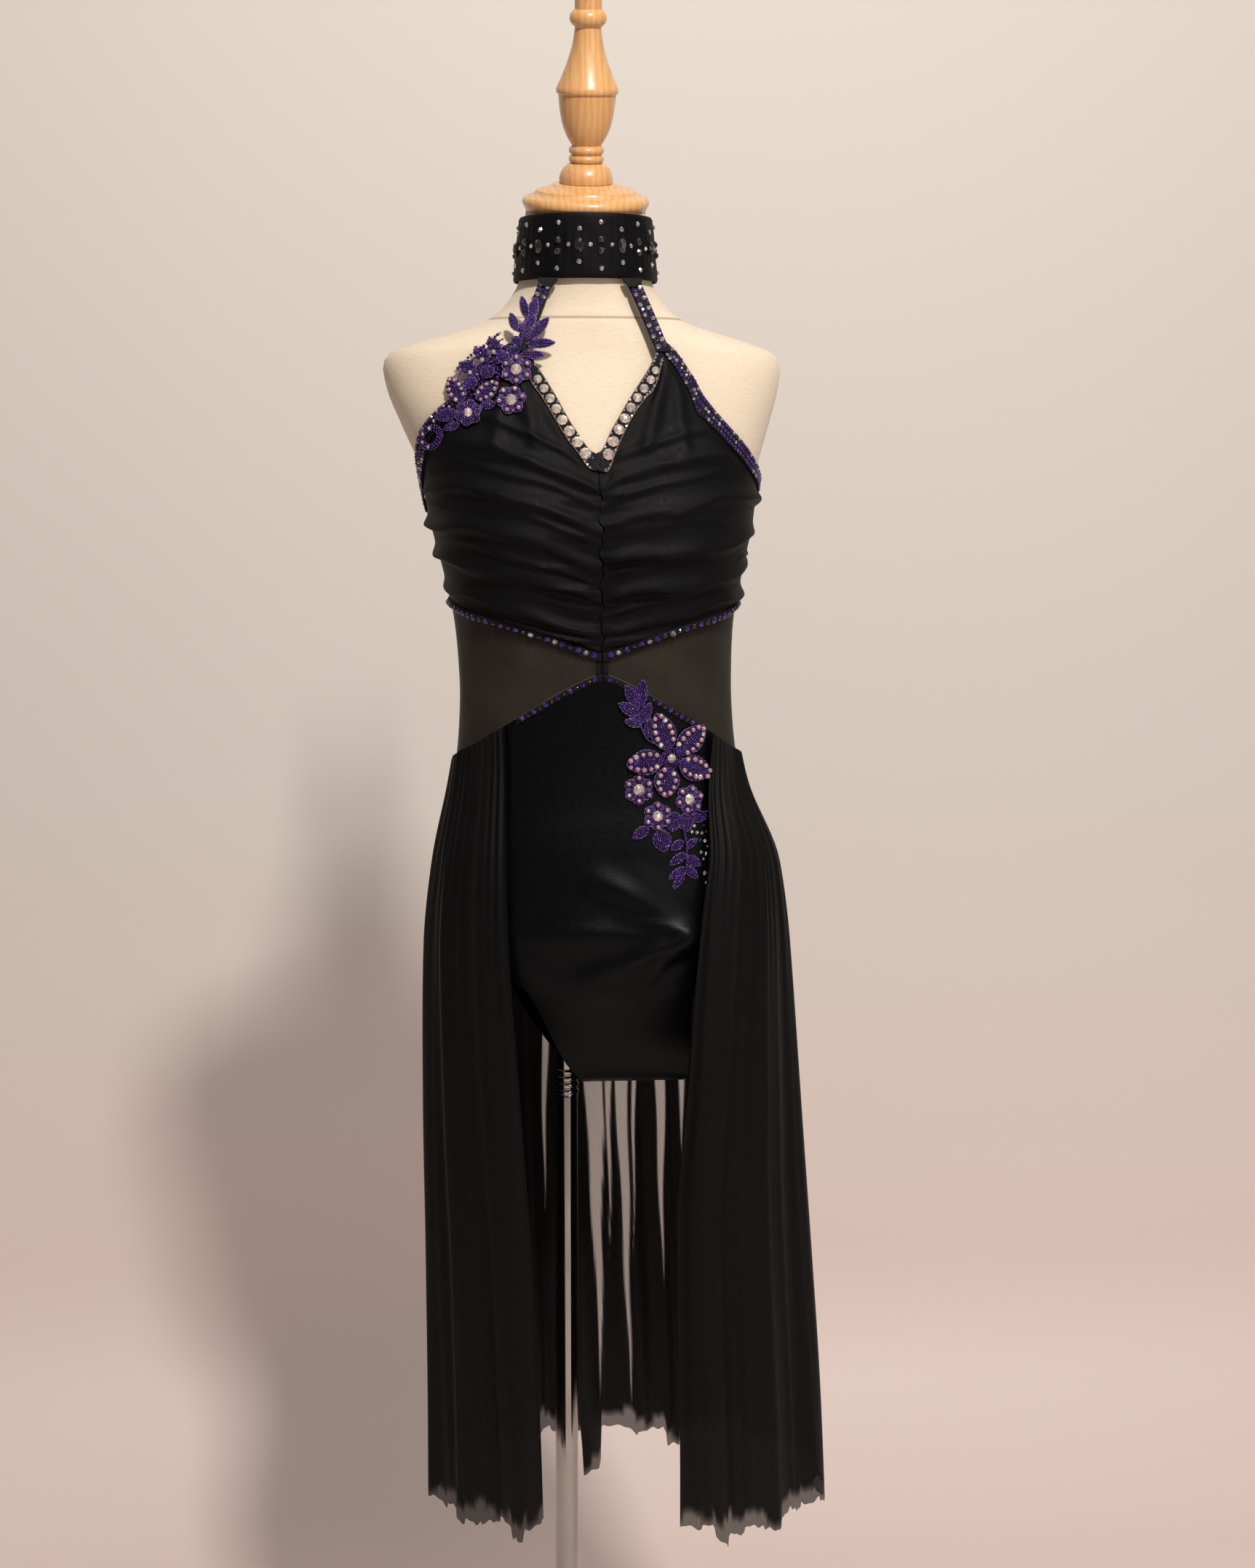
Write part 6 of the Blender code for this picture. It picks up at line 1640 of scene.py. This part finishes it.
# Embroidered ground: satin stitches that run across each petal
satin_stitch, given, out = new_group("satin_stitch", [], ["Thread", "Patch"])
thread = waves(satin_stitch, given["Vector"], 320.0, 1.2)
satin_stitch.links.new(thread.outputs["Fac"], out["Thread"])
satin_stitch.links.new(noise(satin_stitch, given["Vector"], 300.0, 2.0), out["Patch"])
lace_thread, tree, shader, place = new_finish("purple_lace_thread", 0.42)
weave = placed(tree, satin_stitch, place["Object"])
deep = blended(tree, weave["Patch"], (0.005, 0.001, 0.020), (0.018, 0.003, 0.065))
tree.links.new(deep, shader["Base Color"])
tree.links.new(remapped(tree, weave["Thread"], 0.0, 1.0, 0.30, 0.55), shader["Roughness"])
bumped(tree, shader, weave["Thread"], 0.7, 0.0004)
seed_glass = glassy(
    "purple_seed_glass",
    (0.010, 0.001, 0.055), (0.150, 0.038, 0.430), (0.002, 0.0005, 0.010), 0.09, 0.40, 0.8,
)
pearl_glow = glassy(
    "pink_pearl", (0.42, 0.21, 0.27), (0.56, 0.36, 0.38), (0.17, 0.08, 0.27), 0.14, 0.30, 0.8
)


def lace_piece(name, petals, nodes):
    """The net ground of one group, one small closed sheet for each petal."""
    parts, area = [], 0.0
    for petal in petals:
        share, across = np.linspace(0.0, 1.0, 11)[:, None], np.linspace(-1.0, 1.0, 7)[None, :]
        x, z = across_petal(petal, share, across)
        inner, normal = on_front(x, z, CLOTH + petal[5] + GAP)
        crown = LACE * (0.45 + 0.55 * (1 - across**2) ** 0.5 * np.ones(share.shape))
        parts.append(make_sheet(name, inner, normal, crown))
        area += cloth_area(inner)
    pick(parts[0])
    for part in parts:
        part.select_set(True)
    bpy.ops.object.join()
    ground = bpy.context.object
    ground.name = name
    ground.data.materials.clear()
    fit_out(ground, lace_thread, "purple_lace", *nodes)


nodes = [f"lace_shoulder_leaf_{k}" for k in range(1, 7)]
nodes += [f"lace_shoulder_flower_{k}" for k in (1, 2, 3)]
nodes += [f"lace_shoulder_{word}" for word in ("petal", "sprig", "edge", "loop")]
lace_piece("shoulder_lace_ground", SHOULDER_PETALS, nodes)
nodes = [f"lace_hip_{kind}_{k}" for kind in ("leaf", "rose") for k in (1, 2, 3)]
nodes += ["lace_hip_sprig_top", "lace_hip_sprig_low", "lace_hip_flower"]
lace_piece("hip_lace_ground", HIP_PETALS, nodes)

outlines, veins, pearls, seeds, lace_rainbow = [], [], [], [], []
BEAD_STEP = 0.0019
draw = random.Random(17)
for petal in HIP_PETALS + SHOULDER_PETALS:
    *_, half, over, dressing = petal
    top = CLOTH + over + GAP + LACE * 0.75
    share = np.concatenate([np.linspace(0.0, 1.0, 14), np.linspace(1.0, 0.0, 14)[1:-1]])
    across = np.concatenate([np.full(14, 0.97), np.full(12, -0.97)])
    outlines.append(on_front(*across_petal(petal, share, across), top - 0.0001)[0])
    length = math.hypot(petal[2] - petal[0], petal[3] - petal[1])
    if dressing in ("pearls", "stones"):
        ring = np.concatenate([np.linspace(0.10, 0.90, 60), np.linspace(0.90, 0.10, 60)])
        sides = np.concatenate([np.full(60, 0.62), np.full(60, -0.62)])
        path = on_front(*across_petal(petal, ring, sides), top)
        size = 0.0048 if half > 0.009 else 0.0038
        for k, (p, n, s, _) in enumerate(walk(path, [size] * 14, 0.0013, 0.001)):
            if dressing == "stones":
                group = seeds if k % 3 else lace_rainbow
            else:
                group = pearls if k % 6 else lace_rainbow
            group.append((p, n, s * draw.uniform(0.9, 1.08), draw.uniform(0, 6)))
    if dressing == "rose":
        p, n = on_front(*across_petal(petal, 0.66, 0.0), top)
        pearls.append((p, n, 0.0044, draw.uniform(0, 6)))
    limit = {"pearls": 0.36, "stones": 0.30, "rose": 0.0, "beads": 0.78}[dressing]
    for row in np.arange(BEAD_STEP, length - BEAD_STEP * 0.6, BEAD_STEP):
        wide = float(petal_width(half, row / length))
        count = int(wide * limit // BEAD_STEP)
        for k in range(-count, count + 1):
            jitter = draw.uniform(-0.0003, 0.0003)
            x, z = across_petal(petal, row / length + jitter / length, k * BEAD_STEP / wide)
            p, n = on_front(x, z, top - 0.0001)
            seeds.append((p, n, draw.uniform(0.0016, 0.0024), draw.uniform(0, 6)))
        if dressing == "rose" and row < length * 0.30:
            p, n = on_front(*across_petal(petal, row / length, 0.0), top)
            seeds.append((p, n, 0.0019, 0.0))
for route in STEMS:
    marks = np.linspace(0, 1, len(route))
    share = np.linspace(0, 1, 30)
    x = curve_at(marks, np.array([place[0] for place in route]), share)
    z = curve_at(marks, np.array([place[1] for place in route]), share)
    veins.append(on_front(x, z, CLOTH + ON_TRIM + GAP + LACE)[0])
    path = on_front(x, z, np.full(30, CLOTH + ON_TRIM + GAP + LACE * 0.6))
    for p, n, s, _ in walk(path, [0.0022] * 60, 0.0006):
        seeds.append((p, n, s, draw.uniform(0, 6)))
tube_along("lace_outline_cords", outlines, 0.00050, lilac_cord, 5, True)
tube_along("lace_stem_cords", veins, 0.00055, lilac_cord, 5)

# A chain of beads and coated stones along the outer edge of the shoulder's lace, and beads strewn inside
chain = np.array([
    (-0.0590, 1.4040), (-0.0655, 1.3985), (-0.0735, 1.3925),
    (-0.0820, 1.3865), (-0.0895, 1.3800), (-0.0960, 1.3725),
])
marks, share = np.linspace(0, 1, len(chain)), np.linspace(0, 1, 17)
xs, zs = curve_at(marks, chain[:, 0], share), curve_at(marks, chain[:, 1], share)
for k, (x, z) in enumerate(zip(xs, zs)):
    p, n = on_front(x, z, CLOTH + ON_TRIM)
    (seeds if k % 4 else lace_rainbow).append((p, n, draw.uniform(0.0030, 0.0036), draw.uniform(0, 1)))
FIELD = [
    (-0.044, 1.400), (-0.060, 1.402), (-0.089, 1.380), (-0.100, 1.364),
    (-0.102, 1.345), (-0.084, 1.344), (-0.060, 1.364), (-0.050, 1.384),
]
STREWN_BEADS = 190
strewn = []
while len(strewn) < STREWN_BEADS:
    x, z = draw.uniform(-0.104, -0.042), draw.uniform(1.342, 1.404)
    crossings = 0
    for (ax, az), (bx, bz) in zip(FIELD, FIELD[1:] + FIELD[:1]):
        if (az > z) != (bz > z) and x < ax + (z - az) * (bx - ax) / (bz - az):
            crossings += 1
    if crossings % 2 and all(math.hypot(x - u, z - v) > 0.0021 for u, v in strewn):
        strewn.append((x, z))
for x, z in strewn:
    on_cloth = z < height_of(NECKLINE, front_turn(x, z)) + 0.0015
    if on_cloth and not any(inside_petal(petal, x, z, 0.0006) for petal in SHOULDER_PETALS):
        p, n = on_front(x, z, CLOTH + ON_TRIM - 0.0004)
        seeds.append((p, n, draw.uniform(0.0019, 0.0026), 0.0))

# A ring of seed beads round each flower's heart, and the coated stone that fills it
HEARTS = [
    (0.0857, 1.0386, 0.0082, 0.0094, ON_TRIM),
    (0.0577, 1.0120, 0.0104, 0.0060, 0.0),
    (0.1018, 1.0020, 0.0102, 0.0060, 0.0),
    (0.0737, 0.9885, 0.0098, 0.0058, 0.0),
    (-0.0455, 1.3730, 0.0098, 0.0058, ON_TRIM),
    (-0.0502, 1.3471, 0.0102, 0.0060, 0.0008),
    (-0.0855, 1.3367, 0.0082, 0.0056, ON_TRIM),
]
for x, z, size, reach, over in HEARTS:
    top = CLOTH + over + GAP + LACE
    p, n = on_front(x, z, top)
    lace_rainbow.append((p, n, size, draw.uniform(0, 1)))
    for ring_reach in np.arange(size / 2 + 0.0009, reach + 0.0004, BEAD_STEP):
        count = int(math.tau * ring_reach / 0.0021)
        for k in range(count):
            turn = math.tau * (k + draw.uniform(-0.1, 0.1)) / count
            p, n = on_front(x + ring_reach * math.sin(turn), z + ring_reach * math.cos(turn), top - 0.0004)
            seeds.append((p, n, draw.uniform(0.0018, 0.0022), 0.0))
# The open loop over the armhole: three rings of beads, with stones in the middle one
LOOP_X, LOOP_Z, LOOP_REACH = -0.1150, 1.3173, 0.011
for ring_reach in (0.0058, 0.0079, 0.0098):
    count = int(math.tau * ring_reach / 0.0022)
    for k in range(count):
        turn = math.tau * k / count
        x, z = LOOP_X + ring_reach * math.sin(turn), LOOP_Z + ring_reach * math.cos(turn)
        p, n = on_front(x, z, CLOTH + ON_TRIM + GAP)
        if ring_reach == 0.0079 and k % 3 == 0 and -3.6 < turn - math.tau < 0.6:
            lace_rainbow.append((p, n, 0.0040, draw.uniform(0, 1)))
        else:
            seeds.append((p, n, draw.uniform(0.0020, 0.0024), 0.0))
# Loose clear and dark stones between the low sprig and the skirt's edge
LOOSE_STONES = [
    (0.1060, 0.9790, 0.0036), (0.1105, 0.9800, 0.0032), (0.1150, 0.9790, 0.0032), (0.1040, 0.9740, 0.0030),
    (0.1085, 0.9730, 0.0036), (0.1130, 0.9725, 0.0030), (0.1170, 0.9735, 0.0030), (0.1110, 0.9665, 0.0036),
    (0.1155, 0.9655, 0.0034), (0.1120, 0.9560, 0.0038), (0.1165, 0.9545, 0.0034), (0.1150, 0.9380, 0.0042),
    (0.1190, 0.9365, 0.0038), (0.1165, 0.9300, 0.0036), (0.1180, 0.9610, 0.0030), (0.1140, 0.9500, 0.0030),
]
for x, z, size in LOOSE_STONES:
    p, n = on_front(x, z, CLOTH)
    draw.choice([clear, clear, lace_rainbow, black]).append((p, n, size, draw.uniform(0, 1)))

# Stones that the lace would cover are left off the tapes
LACE_PETALS = HIP_PETALS + SHOULDER_PETALS


def uncovered(places):
    kept = []
    for place in places:
        (x, y, z), size = place[0], place[2]
        ring = math.hypot(x - LOOP_X, z - LOOP_Z) < LOOP_REACH + size / 2
        if y < 0 and (ring or any(inside_petal(petal, x, z, size * 0.45) for petal in LACE_PETALS)):
            continue
        kept.append(place)
    return kept


# Painted sparkle: how much a cut stone's tint differs from facet to facet
PAINTED_SPARKLE = 0.55
set_stones("rainbow_stones", ROUND, uncovered(rainbow), rainbow_glass, "trim_cloth", PAINTED_SPARKLE, 2)
set_stones("clear_stones", ROUND, uncovered(clear), clear_glass, "trim_cloth", PAINTED_SPARKLE, 3)
set_stones("purple_stones", ROUND, uncovered(purple), purple_glass, "trim_cloth", PAINTED_SPARKLE, 4)
set_stones("black_stones", ROUND, uncovered(black), black_glass, "trim_cloth", PAINTED_SPARKLE, 5)
set_stones("black_oval_stones", OVAL, ovals, black_glass, "trim_cloth", PAINTED_SPARKLE, 6)
set_stones("lace_stones", ROUND, lace_rainbow, rainbow_glass, "purple_lace", PAINTED_SPARKLE, 7)
set_stones("lace_pearls", PEARL, pearls, pearl_glow, "purple_lace", 0, 8)
set_stones("lace_seed_beads", SEED, seeds, seed_glass, "purple_lace", 0, 9)
